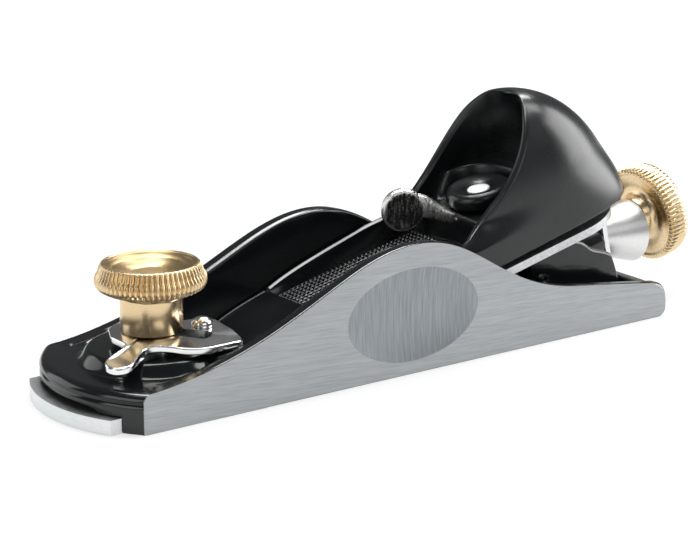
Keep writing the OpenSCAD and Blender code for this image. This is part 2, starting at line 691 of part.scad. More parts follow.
module depth_wheel() {
    r = wheel_d / 2;
    h = wheel_t / 2;
    hub = hub_d / 2;
    face = [[adj_d / 2, -h - hub_l], [hub - 0.5, -h - hub_l], [hub, -h - hub_l + 0.5]];
    dish = curve_points([hub, -h], [hub + 1.2, -h + 1.8], [r - 4.6, -h + 1.2], [r - 0.9, -h], 8);
    rim = [[r - 0.3, -h + 0.3], [r, -h + 1], [r, h - 1.4], [r - 0.5, h - 0.4]];
    back = curve_points([r - 1.6, h + 0.4], [r - 3, h + 0.6], [r - 4, h - 0.6], [adj_d / 2, h - 0.6], 8);
    color([0.78, 0.62, 0.32]) on_bed() translate([wheel_u, 0, adj_w]) rotate([0, 90, 0]) difference() {
        rotate_extrude($fn = 96) polygon(concat(face, dish, rim, back));
        translate([0, 0, -h - hub_l / 2]) rotate([90, 0, 0])
            cylinder(d = wheel_pin_d, h = hub_d + 2, center = true);
    }
}
module wheel_pin() {
    color([0.6, 0.6, 0.62]) on_bed() translate([wheel_pin_u, 0, adj_w]) rotate([90, 0, 0])
        cylinder(d = wheel_pin_d, h = hub_d - 0.6, center = true);
}
module post_pin() {
    color([0.8, 0.81, 0.82]) on_bed() translate([pin_u, 0, pin_w]) rotate([90, 0, 0]) difference() {
        cylinder(d = pin_d, h = 2 * post_w + 1.6, center = true);
        cylinder(d = pin_d - 1.4, h = 2 * post_w + 3, center = true);
    }
}

body();
throat_plate();
throat_stud();
front_knob();
throat_lever();
lever_pivot();
cutter();
lever_cap();
cap_screw();
cam_pivot();
cam_lever();
lateral_lever();
lateral_pivot();
lateral_disc();
disc_rivet();
adjuster_slide();
depth_screw();
depth_wheel();
screw_ring();
wheel_pin();
post_pin();
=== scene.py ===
import bpy
from functools import partialmethod
import numpy as np
from numpy import array, clip, cos, linspace, maximum, minimum, pi, sin, sqrt, stack, where
from mathutils import Matrix, Vector


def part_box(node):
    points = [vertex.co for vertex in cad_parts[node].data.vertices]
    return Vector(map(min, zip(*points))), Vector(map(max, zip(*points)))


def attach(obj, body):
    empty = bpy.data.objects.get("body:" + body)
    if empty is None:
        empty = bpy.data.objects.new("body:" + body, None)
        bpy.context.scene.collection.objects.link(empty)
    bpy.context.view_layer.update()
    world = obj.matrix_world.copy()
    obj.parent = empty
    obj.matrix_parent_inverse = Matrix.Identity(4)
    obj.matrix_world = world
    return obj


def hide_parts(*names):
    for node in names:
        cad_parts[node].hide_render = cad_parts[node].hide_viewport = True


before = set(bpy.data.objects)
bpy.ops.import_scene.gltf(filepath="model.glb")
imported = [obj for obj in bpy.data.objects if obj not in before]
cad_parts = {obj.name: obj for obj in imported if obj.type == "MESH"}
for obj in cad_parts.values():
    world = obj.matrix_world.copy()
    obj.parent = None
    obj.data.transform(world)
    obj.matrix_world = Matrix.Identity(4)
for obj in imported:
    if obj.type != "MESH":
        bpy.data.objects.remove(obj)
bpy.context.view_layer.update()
print("frame loaded")

# Lengths below are in millimetres, and every mesh is written in metres.
mm = 0.001
rad = pi / 180


def middle(node):  # middle of a CAD node's box
    low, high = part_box(node)
    return array((low + high) / 2) / mm


def mix(a, b, t):  # a at t = 0, b at t = 1
    return a + (b - a) * t


def even(count):  # that many values from 0 to 1 at equal steps
    return linspace(0, 1, count)


def upTo90(count):  # the same as angles, from 0 to 90 degrees
    return even(count) * pi / 2


def chain(*parts):  # lists of values or points, one after another
    return np.concatenate(parts)


def unit(v):  # a vector, or each row of a list of them, brought to length 1
    return v / np.linalg.norm(v, axis=-1, keepdims=True)


def ease(x, low, high):  # 0 up to low, 1 from high, and a smooth cubic step between them
    t = clip((x - low) / (high - low), 0, 1)
    return t * t * (3 - 2 * t)


def nearing(x, end, run):  # 0 until one run before the end, then evenly up to 1 at the end
    return clip((x - (end - run)) / run, 0, 1)


def past(x, start, end):  # 0 up to the start, then a curve whose slope grows evenly to 1 at the end
    return clip(x - start, 0, end - start) ** 2 / (2 * (end - start)) + maximum(x - end, 0)


def arc(t):  # height of a quarter round over its run: 0 at t = 0, 1 at t = 1, upright at the end
    return 1 - sqrt(maximum(1 - t ** 2, 0))


def cubic(a, b, c, d, t):  # the cubic curve from a, towards b and c, to d
    return (1 - t) ** 3 * a + 3 * (1 - t) ** 2 * t * b + 3 * (1 - t) * t * t * c + t ** 3 * d


def bend(a, b, c, d, count):  # that many points of one such curve
    return cubic(*(array(p, float) for p in (a, b, c, d)), even(count)[:, None])


def strands(a, b, c, d, t):  # one such curve for each row of a, b, c and d
    return cubic(*(p[:, None] for p in (a, b, c, d)), t[:, None])


def quarter(cx, cy, rx, ry, start, stop, count):  # arc of an ellipse, angles in degrees
    a = linspace(start, stop, count) * rad
    return stack([cx + rx * cos(a), cy + ry * sin(a)], 1)


def lengths(points):  # the length along a line of points up to each of them
    return chain([0], np.cumsum(np.linalg.norm(np.diff(points, axis=0), axis=1)))


def evenly(points, count):  # a closed line with its points at equal steps of length
    points = chain(points, points[:1])
    run = lengths(points)
    at = linspace(0, run[-1], count + 1)[:-1]
    return stack([np.interp(at, run, points[:, k]) for k in range(points.shape[1])], 1)


def softened(points, turns):  # a closed outline whose corners are cut again and again
    points = array(points, float)
    for _ in range(turns):
        after = np.roll(points, -1, axis=0)
        points = stack([mix(points, after, 0.25), mix(points, after, 0.75)], 1).reshape(-1, 2)
    return points


def roundedCorners(corners):
    # A closed outline from corners of x, y and radius: each arc touches both of its corner's sides.
    corners = array(corners, float)
    spots = corners[:, :2]
    t = even(14)[:, None]
    line = []
    for i, (spot, radius) in enumerate(zip(spots, corners[:, 2])):
        back, on = unit(spots[i - 1] - spot), unit(spots[(i + 1) % len(spots)] - spot)
        half = np.arccos(back @ on) / 2
        reach = radius / np.tan(half)
        centre = spot + unit(back + on) * radius / sin(half)
        first, last = spot + back * reach - centre, spot + on * reach - centre
        sweep = pi - 2 * half
        line.append(centre + (sin((1 - t) * sweep) * first + sin(t * sweep) * last) / sin(sweep))
    return chain(*line)


def inward(outline):  # unit normals that point into a closed outline
    along = unit(np.roll(outline, -1, axis=0) - np.roll(outline, 1, axis=0))
    x, y = outline.T
    area = np.sum(x * np.roll(y, -1) - y * np.roll(x, -1))
    return stack([-along[:, 1], along[:, 0]], 1) * np.sign(area)


# ---- meshes ----
def joined(count, parts):  # that many rows with the parts side by side, each part spread over the rows
    return np.hstack([np.broadcast_to(p, (count, np.shape(p)[-1])) for p in parts])


def tube(rows, ends="capped"):
    # A grid of rows, each row a closed ring. The ends are capped by drawing the first and last ring together
    # at their middle, left open, or joined to each other.
    if ends == "capped":
        first = np.broadcast_to(rows[0].mean(0), rows[0].shape)
        last = np.broadcast_to(rows[-1].mean(0), rows[-1].shape)
        rows = chain(first[None], rows, last[None])
    ids = np.arange(rows.shape[0] * rows.shape[1]).reshape(rows.shape[:2])
    ids = np.hstack([ids, ids[:, :1]])
    if ends == "joined":
        ids = chain(ids, ids[:1])
    quads = stack([ids[:-1, :-1], ids[:-1, 1:], ids[1:, 1:], ids[1:, :-1]], -1).reshape(-1, 4)
    return rows.reshape(-1, 3), quads


def solid(x, y, z):  # a closed form from grids of x, y and z, with a ring of points in each row
    return tube(stack(np.broadcast_arrays(x, y, z), -1))


def turned(outline, centre, along, across, count, knurl=None):
    # A lathe form: radius and height pairs carried round the axis. The knurl cuts the radius in a wave
    # whose depth at each point of the outline is given.
    outline = array(outline, float)
    a = np.arange(count) * 2 * pi / count
    radius = np.repeat(outline[:, :1], count, 1)
    if knurl:
        depth, ridges = knurl(outline)
        radius = radius - depth[:, None] * (0.5 + 0.5 * cos(a * ridges))[None] ** 1.4
    along, across = array(along, float), array(across, float)
    third = np.cross(along, across)
    rows = (array(centre, float) + outline[:, 1][:, None, None] * along
            + radius[..., None] * (cos(a)[None, :, None] * across + sin(a)[None, :, None] * third))
    return tube(rows, "open")


def welded(vertices, quads):
    # Points that fall together become one, faces that vanish go, and the faces are turned outwards.
    together = 3e-4
    keys = np.round(vertices / together).astype(np.int64)
    _, first, back = np.unique(keys, axis=0, return_index=True, return_inverse=True)
    vertices, quads = vertices[first], back.reshape(-1)[quads]
    same = quads == np.roll(quads, -1, axis=1)
    whole = quads[same.sum(1) == 0]
    crossed = (whole[:, 0] == whole[:, 2]) | (whole[:, 1] == whole[:, 3])
    whole = whole[~crossed]
    part, cut = quads[same.sum(1) == 1], same[same.sum(1) == 1]
    thirds = part[~cut].reshape(-1, 3)
    corners = chain(whole[:, [0, 1, 2]], whole[:, [0, 2, 3]], thirds)
    p = vertices[corners]
    if np.einsum("ij,ij->", p[:, 0], np.cross(p[:, 1], p[:, 2])) < 0:
        whole, thirds = whole[:, ::-1], thirds[:, ::-1]
    return vertices, whole, thirds


def addPiece(name, shells, body, finish, standsFor=(), crease=34, wearAndSheen=None):
    vertices, faces, start = [], [], 0
    for shell in shells:
        points, whole, thirds = welded(*shell)
        vertices.append(points)
        faces += (whole + start).tolist() + (thirds + start).tolist()
        start += len(points)
    vertices = chain(*vertices)
    mesh = bpy.data.meshes.new(name)
    mesh.from_pydata((vertices * mm).tolist(), [], faces)
    if wearAndSheen:
        wornAndSheen = mesh.attributes.new("wearAndSheen", "FLOAT", "POINT")
        wornAndSheen.data.foreach_set("value", wearAndSheen(vertices).astype(np.float32))
    mesh.shade_smooth()
    mesh.set_sharp_from_angle(angle=crease * rad)
    mesh.materials.append(finish)
    piece = bpy.data.objects.new(name, mesh)
    bpy.context.scene.collection.objects.link(piece)
    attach(piece, body)
    if standsFor:
        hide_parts(*standsFor)
    print("piece", name, len(faces), "faces")


# ---- finishes ----
class Wire:  # a socket whose sums and products add the Math nodes that work them out
    def __init__(self, paint, socket):
        self.paint, self.socket = paint, socket

    def math(self, operation, *others):
        return self.paint.node("ShaderNodeMath", {"operation": operation}, dict(enumerate((self, *others))))

    __add__ = __radd__ = partialmethod(math, "ADD")
    __mul__ = __rmul__ = partialmethod(math, "MULTIPLY")
    __sub__ = partialmethod(math, "SUBTRACT")
    __truediv__ = partialmethod(math, "DIVIDE")

    def __rsub__(self, other):
        return self.paint.node("ShaderNodeMath", {"operation": "SUBTRACT"}, {0: other, 1: self})

    def over(self, value, soft=0.0):  # 1 where the wire is above the value, with a soft edge if one is given
        if soft:
            sockets = {"Value": self, "From Min": value - soft, "From Max": value + soft}
            return self.paint.node("ShaderNodeMapRange", {"interpolation_type": "SMOOTHSTEP"}, sockets)
        return self.math("GREATER_THAN", value)


class Finish:
    def __init__(self, name, **constants):
        self.material = bpy.data.materials.new(name)
        self.material.use_nodes = True
        self.tree = self.material.node_tree
        self.shader = self.tree.nodes["Principled BSDF"]
        for socket, value in constants.items():
            self.shader.inputs[socket].default_value = value

    def node(self, kind, settings=None, values=None, output=0):
        made = self.tree.nodes.new(kind)
        for key, value in (settings or {}).items():
            setattr(made, key, value)
        for key, value in (values or {}).items():
            if isinstance(value, Wire):
                self.tree.links.new(value.socket, made.inputs[key])
            else:
                made.inputs[key].default_value = value
        return Wire(self, made.outputs[output])

    def feed(self, socket, wire):
        self.tree.links.new(wire.socket, self.shader.inputs[socket])

    def place(self):  # object coordinates in metres
        return self.node("ShaderNodeTexCoord", output="Object")

    def placeParts(self):  # the same as three wires: x, y and z
        split = self.node("ShaderNodeSeparateXYZ", {}, {0: self.place()}).socket.node
        return [Wire(self, socket) for socket in split.outputs]

    def grain(self, vector, scale, detail, rough):
        sockets = {"Vector": vector, "Scale": scale, "Detail": detail, "Roughness": rough}
        return self.node("ShaderNodeTexNoise", {}, sockets)

    def noise(self, scale, stretch=(1, 1, 1), detail=3.0, rough=0.55):
        stretched = self.node("ShaderNodeMapping", {}, {"Vector": self.place(), "Scale": stretch})
        return self.grain(stretched, scale, detail, rough)

    def colours(self, share, dark, light):
        return self.blendColours(share, (*dark, 1), (*light, 1))

    def blendColours(self, share, first, second):
        return self.node("ShaderNodeMix", {"data_type": "RGBA"}, {0: share, 6: first, 7: second}, output=2)

    def blendValues(self, share, first, second):
        return self.node("ShaderNodeMix", {"data_type": "FLOAT"}, {0: share, 2: first, 3: second})

    def bumps(self, height, depth, strength):
        sockets = {"Height": height, "Distance": depth, "Strength": strength}
        self.feed("Normal", self.node("ShaderNodeBump", {}, sockets))


enamel = {"dark": (0.0045, 0.0055, 0.0062), "light": (0.0075, 0.009, 0.010), "roughness": 0.14, "gloss": 0.5,
          "cloud": 90, "uneven": 0.10, "peel": 0.00003, "peelScale": 420, "rearAt": 0.022, "rearSoft": 0.008}
ground = {"dark": (0.30, 0.318, 0.327), "light": (0.44, 0.458, 0.467), "roughness": 0.42, "smoother": -0.08,
          "fine": 3400, "broad": 900, "tilt": 0.05, "wander": 0.0035, "wanderScale": 9, "scratch": 0.00003}
oval = {"dark": (0.223, 0.246, 0.26), "light": (0.305, 0.332, 0.346), "roughness": 0.42, "smoother": -0.06,
        "scale": 2300, "soft": 0.012}
# The dish's colours are the brass made darker as painted shade over its face; its roughness is its own.
brassLook = {"dark": (0.66, 0.475, 0.255), "light": (0.84, 0.68, 0.44), "roughness": 0.27,
             "facing": 0.36, "dishShadedDark": (0.34, 0.245, 0.12), "dishShadedLight": (0.48, 0.36, 0.20)}


def enamelColours(f):  # the cloud that mottles the enamel, and its two blacks mixed by it
    cloud = f.noise(enamel["cloud"], detail=2)
    return cloud, f.colours(cloud, enamel["dark"], enamel["light"])


def enamelFinish(name, roughness=enamel["roughness"], rougher=0.0):
    # The extra roughness comes in over the rear of the piece.
    f = Finish(name, **{"Specular IOR Level": enamel["gloss"]})
    cloud, colour = enamelColours(f)
    f.feed("Base Color", colour)
    atRear = f.placeParts()[0].over(enamel["rearAt"], enamel["rearSoft"])
    f.feed("Roughness", cloud * enamel["uneven"] + (roughness - enamel["uneven"] / 2) + atRear * rougher)
    f.bumps(f.noise(enamel["peelScale"], detail=1), enamel["peel"], 0.6)
    return f.material


def castingFinish(side, hollow):
    # Enamel inside, ground metal on the two side planes and the sole, and a finer cross grind in the oval hollow.
    f = Finish("ground and enamelled iron", **{"Specular IOR Level": enamel["gloss"]})
    x, y, z = f.placeParts()
    breadth = y.math("ABSOLUTE")
    ovalAt = ((x - hollow["x"] * mm) / (hollow["a"] * mm)).math("POWER", 2) + \
        ((z - hollow["z"] * mm) / (hollow["b"] * mm)).math("POWER", 2)
    inOval = (1 - ovalAt).over(0, oval["soft"]) * breadth.over((side - hollow["depth"] - 0.3) * mm)
    onSide = breadth.over((side - 0.07) * mm)
    onSole = (0.03 * mm - z).over(0)
    bare = onSide.math("MAXIMUM", inOval).math("MAXIMUM", onSole)
    # The grind runs along the side in long strokes that climb a little and wander.
    wander = f.noise(ground["wanderScale"], detail=1) * ground["wander"]
    swept = f.node("ShaderNodeCombineXYZ", {}, {0: x * 0.035, 1: y * 0.2, 2: z + x * ground["tilt"] + wander})
    fine, broad = f.grain(swept, ground["fine"], 4, 0.62), f.grain(swept, ground["broad"], 2, 0.5)
    lines = (fine * 0.7 + broad * 0.3).over(0.5, 0.3)
    brushed = f.noise(oval["scale"], (1, 0.2, 0.045), 4, 0.6).over(0.5, 0.22)
    metalColour = f.blendColours(inOval, f.colours(lines, ground["dark"], ground["light"]),
                                 f.colours(brushed, oval["dark"], oval["light"]))
    cloud, colour = enamelColours(f)
    f.feed("Base Color", f.blendColours(bare, colour, metalColour))
    f.feed("Metallic", bare)
    metalRough = f.blendValues(inOval, lines * ground["smoother"] + ground["roughness"],
                               brushed * oval["smoother"] + oval["roughness"])
    enamelRough = cloud * enamel["uneven"] + (enamel["roughness"] - enamel["uneven"] / 2)
    f.feed("Roughness", f.blendValues(bare, enamelRough, metalRough))
    peel = f.noise(enamel["peelScale"], detail=1)
    f.bumps(f.blendValues(bare, peel, f.blendValues(inOval, lines, brushed)), ground["scratch"], 0.5)
    return f.material


def steelFinish(name, dark, light, roughness, stretch=(0.03, 1, 1), scale=1800, depth=0.00001):
    f = Finish(name, Metallic=1.0)
    grain = f.noise(scale, stretch, 3, 0.6)
    cloud = f.noise(60, detail=2)
    f.feed("Base Color", f.colours(grain * 0.6 + cloud * 0.4, dark, light))
    f.feed("Roughness", grain * 0.10 + cloud * 0.06 + (roughness - 0.08))
    f.bumps(grain, depth, 0.5)
    return f.material


def brassFinish(name, roughness, dark, light):
    f = Finish(name, Metallic=1.0)
    cloud = f.noise(70, detail=3)
    turnedLines = f.noise(1500, (0.15, 0.15, 1), 2)
    f.feed("Base Color", f.colours(cloud * 0.7 + turnedLines * 0.3, dark, light))
    f.feed("Roughness", cloud * 0.10 + turnedLines * 0.06 + (roughness - 0.08))
    f.bumps(turnedLines, 0.000002, 0.3)
    return f.material


print("finishes ready")

# ---- the body ----
casting = {"halfWidth": 22.2, "halfLength": 76, "toeBow": 8.3, "heelBow": 1, "wall": 3.9, "floor": 4,
           "deck": 9, "pad": 12, "padRadius": 14.2, "hump": 30.7, "humpX": -3, "rear": 9, "heelCorner": 3.5,
           "footCorner": 2, "heelDip": 1.2, "heelWall": 4.2, "lean": 17.5, "blockRear": -44.7, "plate": 3.55,
           "plateHalf": 18.15, "relief": 1.4, "reliefHalf": 13.5, "toeTurn": 2.6, "toeRound": 2, "heelTurn": 6,
           "heelLow": 3.4, "soleEdge": 0.25, "innerRound": 0.55, "bank": 2.4, "cove": 2.6, "innerRim": 0.9,
           "outerRim": 1.3}
finger = {"x": -4.0, "z": 14.2, "a": 18.8, "b": 11.0, "depth": 1.1}
bed = {"angle": 13.5, "start": -42.1, "length": 32, "screw": -10.5}
post = {"front": 84.0, "half": 10, "edge": 1.0, "bossRadius": 5.6, "bossFront": 99, "bossRear": 113.9}
knobX = middle("front_knob")[0]
cosBed, sinBed = cos(bed["angle"] * rad), sin(bed["angle"] * rad)
bodyFinish = castingFinish(casting["halfWidth"], finger)


def onBed(u, y, w):  # u runs up the bed, w stands square to it
    u, y, w = np.broadcast_arrays(u, y, w)
    return stack([bed["start"] + cosBed * u - sinBed * w, y, sinBed * u + cosBed * w], -1)


def turnedUpright(outline, spot, count, knurl=None):  # round an upright axis
    return turned(outline, (spot[0], spot[1], 0), (0, 0, 1), (1, 0, 0), count, knurl)


def turnedOffBed(outline, u, count):  # round an axis square to the bed
    return turned(outline, onBed(u, 0, 0), (-sinBed, 0, cosBed), (0, 1, 0), count)


def turnedOnScrew(outline, u, count, knurl=None):  # round the depth screw, which runs under the bed
    return turned(outline, onBed(u, 0, bed["screw"]), (cosBed, 0, sinBed), (0, 1, 0), count, knurl)


def bowRadius(bow):  # radius of an end's arc, from how far it bows out over the body's width
    return (casting["halfWidth"] ** 2 + bow ** 2) / (2 * bow)


def banked(y, edge):  # the casting's inner corners: a quarter round that stops just short of upright
    return arc(0.9995 * nearing(np.abs(y), edge, casting["bank"]))


def sideTop(at):
    # The ground side's upper line in side view: two cubic curves that meet at the hump.
    c = casting
    x, hump, deck, rear = c["humpX"], c["hump"], c["deck"], c["rear"]
    rise = bend((-c["halfLength"] + 3, deck), (x - 34, deck + 3.8), (x - 20, hump), (x, hump), 60)
    fall = bend((x, hump), (x + 18, hump), (x + 25, rear + 6.2), (x + 50, rear + 3.6), 60)
    line = chain([(-90, deck)], rise, fall[1:], [(c["halfLength"] - 2.5, rear)])
    return np.interp(at, line[:, 0], line[:, 1])


def sideWall(side):
    # A section at each x: from the inner foot, under the wall, up the ground face, over the rim and down inside.
    c = casting
    outer = c["halfWidth"]
    inner = outer - c["wall"]
    end = c["halfLength"] + 0.3
    turnToe = -c["halfLength"] + c["toeTurn"] * (1 - cos(upTo90(9)))
    turnHeel = end - c["heelTurn"] * (1 - sin(upTo90(22)))
    x = chain(turnToe[:-1], linspace(turnToe[-1], turnHeel[0], 430), turnHeel[1:])[:, None]
    top = sideTop(x)
    toeRound = c["toeRound"]
    off = clip((x + c["halfLength"]) * sqrt(1 - (outer / bowRadius(c["toeBow"])) ** 2), 0, toeRound)
    top = where(off < toeRound, minimum(top, c["deck"] - toeRound * arc(1 - off / toeRound)), top)
    # At the heel the ground face's edge falls in one round and the crest behind it in a smaller one.
    edge = top - (top - c["heelLow"]) * arc(nearing(x, end, c["heelTurn"]) ** 1.15)
    crest = maximum(top - c["heelCorner"] * arc(nearing(x, end, c["heelCorner"])), edge)
    low = c["footCorner"] * arc(nearing(x, end, c["footCorner"]))
    face = low + c["soleEdge"] + (edge - low - c["soleEdge"]) * even(68)[1:-1]
    around = ((x - finger["x"]) / finger["a"]) ** 2 + ((face - finger["z"]) / finger["b"]) ** 2
    hollow = finger["depth"] * maximum(1 - around, 0) ** 0.9
    # The top leans up from the ground edge, runs level, and leans down to a small round at the inner face.
    t = even(30)
    away = t * (c["wall"] - c["innerRound"])
    lean = np.tan(c["lean"] * rad)
    crown = lean * (maximum(away - 0.3, 0) - past(away, 0.5, 0.8) - past(away, 2.25, 2.65))
    early = minimum(t * 3.3, 1)
    heel = (crest - edge) * (1 - arc(1 - early))
    sink = 0.3 * (1 - ease(x, -66, -57)) * early
    rim = edge + heel + crown - sink
    ring = upTo90(6)[1:]
    y = joined(len(x), [[inner, outer - c["soleEdge"], outer], outer - hollow, outer - away,
                        inner + c["innerRound"] * (1 - sin(ring))])
    z = joined(len(x), [low, low, low + c["soleEdge"], face, rim,
                        rim[:, -1:] - 0.6 * (1 - cos(ring)) - 0.15 * sin(ring)])
    return solid(x, side * y, z)


def toeBlock():
    # A section at each y, as one ring: front face, deck, down at the back and forward underneath.
    c = casting
    radius = bowRadius(c["toeBow"])
    centre = -c["halfLength"] - c["toeBow"] + radius
    half, step = c["halfWidth"] - 0.05, c["plateHalf"]
    edges = [-half, -step - 0.01, -step, -c["reliefHalf"], c["reliefHalf"], step, step + 0.01, half]
    parts = zip(edges[:-1], edges[1:], (14, 2, 14, 90, 14, 2, 14))
    y = np.concatenate([linspace(a, b, count)[:-1] for a, b, count in parts] + [[half]])[:, None]
    front = centre - sqrt(radius ** 2 - y ** 2)
    slant = sqrt(1 - (y / radius) ** 2)
    under = where(np.abs(y) >= step + 0.005, 0.0, c["plate"])
    under = under + c["relief"] * (1 - arc((y / (c["reliefHalf"] - 0.5)) ** 2))
    # Front face: depth behind the outline, and height.
    shoulder = [(2.0 - 2.0 * cos(a), 7.1 + 1.9 * sin(a)) for a in upTo90(9)]
    depth, height = array([(0.5, 0), (0.12, 0.12), (0, 0.5), (0, 5.6), (0.1, 6.2), (0.42, 6.55), (0.45, 6.8),
                           (0.12, 7.05), *shoulder]).T
    rise = where(height < 1, under + height, maximum(height, under + 1))
    noseX = front + depth / slant
    deckX = mix(noseX[:, -1:], c["blockRear"], even(131)[1:])
    onPad = 1 - ease(np.hypot(deckX - knobX, y), c["padRadius"] - 0.2, c["padRadius"] + 3.0)
    ramp = ease(deckX, knobX + 3.8, knobX + 7.2)
    level = c["deck"] + (c["pad"] - c["deck"]) * (1 - (1 - onPad) * (1 - ramp))
    # The deck curves up to the walls inside them and follows their rim outside.
    wallIn = c["halfWidth"] - c["wall"]
    bank = 2.2 * banked(y, wallIn) * ease(deckX, -73, -62)
    rim = sideTop(deckX)
    outside = rim - 0.02 - 1.4 * ease(deckX, -62, -56)
    inside = minimum(level + bank, maximum(level, rim - 0.35))
    level = where(np.abs(y) > wallIn + 0.3, outside, inside)
    x = joined(len(y), [noseX, deckX, [c["blockRear"]] * 3,
                        mix(c["blockRear"], noseX[:, :1], even(8)[1:-1])])
    z = joined(len(y), [rise, level, mix(level[:, -1:], under, even(4)[1:]), np.repeat(under, 6, 1)])
    return solid(x, y, z)


def trough():
    # A section at each y, as one ring: bed and floor, up the heel wall, over it, down outside and forward below.
    c = casting
    slope = sinBed / cosBed
    seat = bed["start"] + 0.15 / sinBed
    bedRear = bed["start"] + bed["length"] * cosBed
    half = c["halfWidth"] - c["wall"] + 0.02
    y = half * sin(-cos(linspace(0, 180, 51) * rad) * pi / 2)[:, None]
    heelRadius = bowRadius(c["heelBow"])
    end = c["halfLength"] + c["heelBow"] - heelRadius + sqrt(heelRadius ** 2 - y ** 2)
    wallTop = c["rear"] - c["heelDip"]
    inside = c["halfLength"] + c["heelBow"] - c["heelWall"]
    x = chain(linspace(seat, bedRear, 24), linspace(bedRear, inside - c["cove"], 60)[1:])
    behind = maximum(mix((bedRear - seat) * slope, c["floor"], ease(x, bedRear, bedRear + 3)), c["floor"])
    lift = c["bank"] * banked(y, half)
    floorZ = where(x > bedRear, behind, (x - seat) * slope) + lift * ease(x, seat, seat + 6)
    cove = quarter(inside - c["cove"], c["floor"] + c["cove"], c["cove"], c["cove"], -90, 0, 8)[1:]
    coveZ = minimum(maximum(cove[:, 1], c["floor"] + lift), wallTop - c["innerRim"])
    few, more = upTo90(5), upTo90(6)
    x = joined(len(y), [
        x, cove[:, 0], inside + c["innerRim"] * (1 - cos(few)), end - c["outerRim"] * (1 - sin(more)),
        end - c["footCorner"] * (1 - cos(more)), mix(seat, end - c["footCorner"], linspace(1, 0, 12)[1:])])
    z = joined(len(y), [
        floorZ, coveZ, wallTop - c["innerRim"] * (1 - sin(few)), wallTop - c["outerRim"] * (1 - cos(more)),
        c["footCorner"] * (1 - sin(more)), np.zeros(11)])
    return solid(x, y, z)


def rearPost():
    # A plate under the cutter's rear, rounded at its edges, with a boss along the depth screw.
    p = post
    outline = softened([(p["front"], -0.15), (88, -0.15), (93, -0.15), (98, -0.15), (100, -3.4), (103.5, -5.2),
                        (105.4, -8), (110.6, -10.8), (111.7, -12), (112.7, -19), (113.2, -23.5), (98, -21.5),
                        (p["front"], -20)], 2)
    outline = evenly(outline, 90)
    a = upTo90(5)
    y = chain(p["edge"] * (1 - cos(a)) - p["half"], p["half"] - p["edge"] * (1 - cos(a[::-1])))
    inset = p["edge"] * (1 - chain(sin(a), sin(a[::-1])))
    flat = outline + inward(outline) * inset[:, None, None]
    plate = tube(onBed(flat[..., 0], y[:, None], flat[..., 1]))
    rounded = quarter(p["bossRear"] - 1.0, p["bossRadius"] - 0.9, 1.0, 0.9, 90, 0, 5)[:, ::-1]
    boss = chain([(0.0, p["bossFront"]), (p["bossRadius"], p["bossFront"])], rounded,
                 [(0.0, p["bossRear"])])
    return [plate, turnedOnScrew(boss, 0, 48)]


addPiece("body_sides", [sideWall(-1), sideWall(1)], "frame", bodyFinish, ["body"], crease=28)
addPiece("body_toe", [toeBlock()], "frame", bodyFinish)
addPiece("body_trough", [trough()], "frame", bodyFinish)
addPiece("body_post", rearPost(), "frame", bodyFinish)

# ---- brass knob and wheel ----
knob = {"radius": 12.5, "stem": 7.0, "foot": 15.35, "stemHeight": 6.6, "height": 9, "rim": 10.2, "dish": 2.5,
        "ridges": 62, "ridgeLow": 24.4, "ridgeHigh": 30.9, "cut": 0.8}
wheel = {"u": 133.6, "radius": 12.7, "half": 3.2, "hub": 5.0, "hubLength": 2, "ridges": 64, "notch": 0.7,
         "cut": 0.22}
brass = brassFinish("turned brass", brassLook["roughness"], brassLook["dark"], brassLook["light"])
# painted shade: the knob's dish gets a darker copy of the turned brass
shadedDishBrass = brassFinish("faced brass with painted shade", brassLook["facing"], brassLook["dishShadedDark"], brassLook["dishShadedLight"])


def knobRidges(outline):  # cut over the head's side, fading out at both ends and inwards
    r, z = outline.T
    low, high = knob["ridgeLow"], knob["ridgeHigh"]
    band = ease(z, low, low + 0.6) * (1 - ease(z, high - 0.6, high))
    return knob["cut"] * band * ease(r, knob["rim"], knob["rim"] + 0.7), knob["ridges"]


def knobLines():  # the knob's outline and its dish's, in radius and height
    k = knob
    r, stem, rim = k["radius"], k["stem"], k["rim"]
    base = k["foot"] + k["stemHeight"]
    top = base + k["height"]
    outside = chain(
        [(0, k["foot"]), (stem - 0.3, k["foot"]), (stem, k["foot"] + 0.3), (stem, base + 0.9)],
        bend((stem, base + 1.2), (stem + 0.3, base + 2.5), (r - 2.8, base + 2.1), (r - 1.5, base + 2.9), 10),
        bend((r - 1.0, base + 3.2), (r + 0.15, base + 4.0), (r + 0.25, base + 5.2), (r - 0.4, base + 6.4), 22),
        bend((r - 0.6, base + 6.7), (r - 1.0, base + 7.7), (rim + 1.1, top), (rim + 0.3, top), 12),
        [(rim, top - 0.1), (rim, top - 1.2), (0, top - 3.4)])
    floor = top - k["dish"]
    dish = chain(
        [(0, top - 3.2), (rim + 0.05, top - 1.0), (rim + 0.05, top - 0.13)],
        bend((rim - 0.35, top - 0.35), (rim - 1.2, top - 1.6), (rim * 0.6, floor), (0, floor), 16))
    return outside, dish


knobOutside, knobDish = knobLines()
addPiece("knob_dish", [turnedUpright(knobDish, (knobX, 0), 124)], "knob", shadedDishBrass, crease=85)
addPiece("knob_turned", [turnedUpright(knobOutside, (knobX, 0), 496, knobRidges)], "knob", brass,
         ["front_knob"], crease=85)


def wheelRidges(outline):  # deep notches at the front edge, shallow over the rim, none at the rear edge
    r, x = outline.T
    deep = mix(wheel["notch"], wheel["cut"], ease(x, -2.9, -0.3)) * (1 - ease(x, 1.9, 2.9))
    return deep * ease(r, 11.4, 12.4), wheel["ridges"]


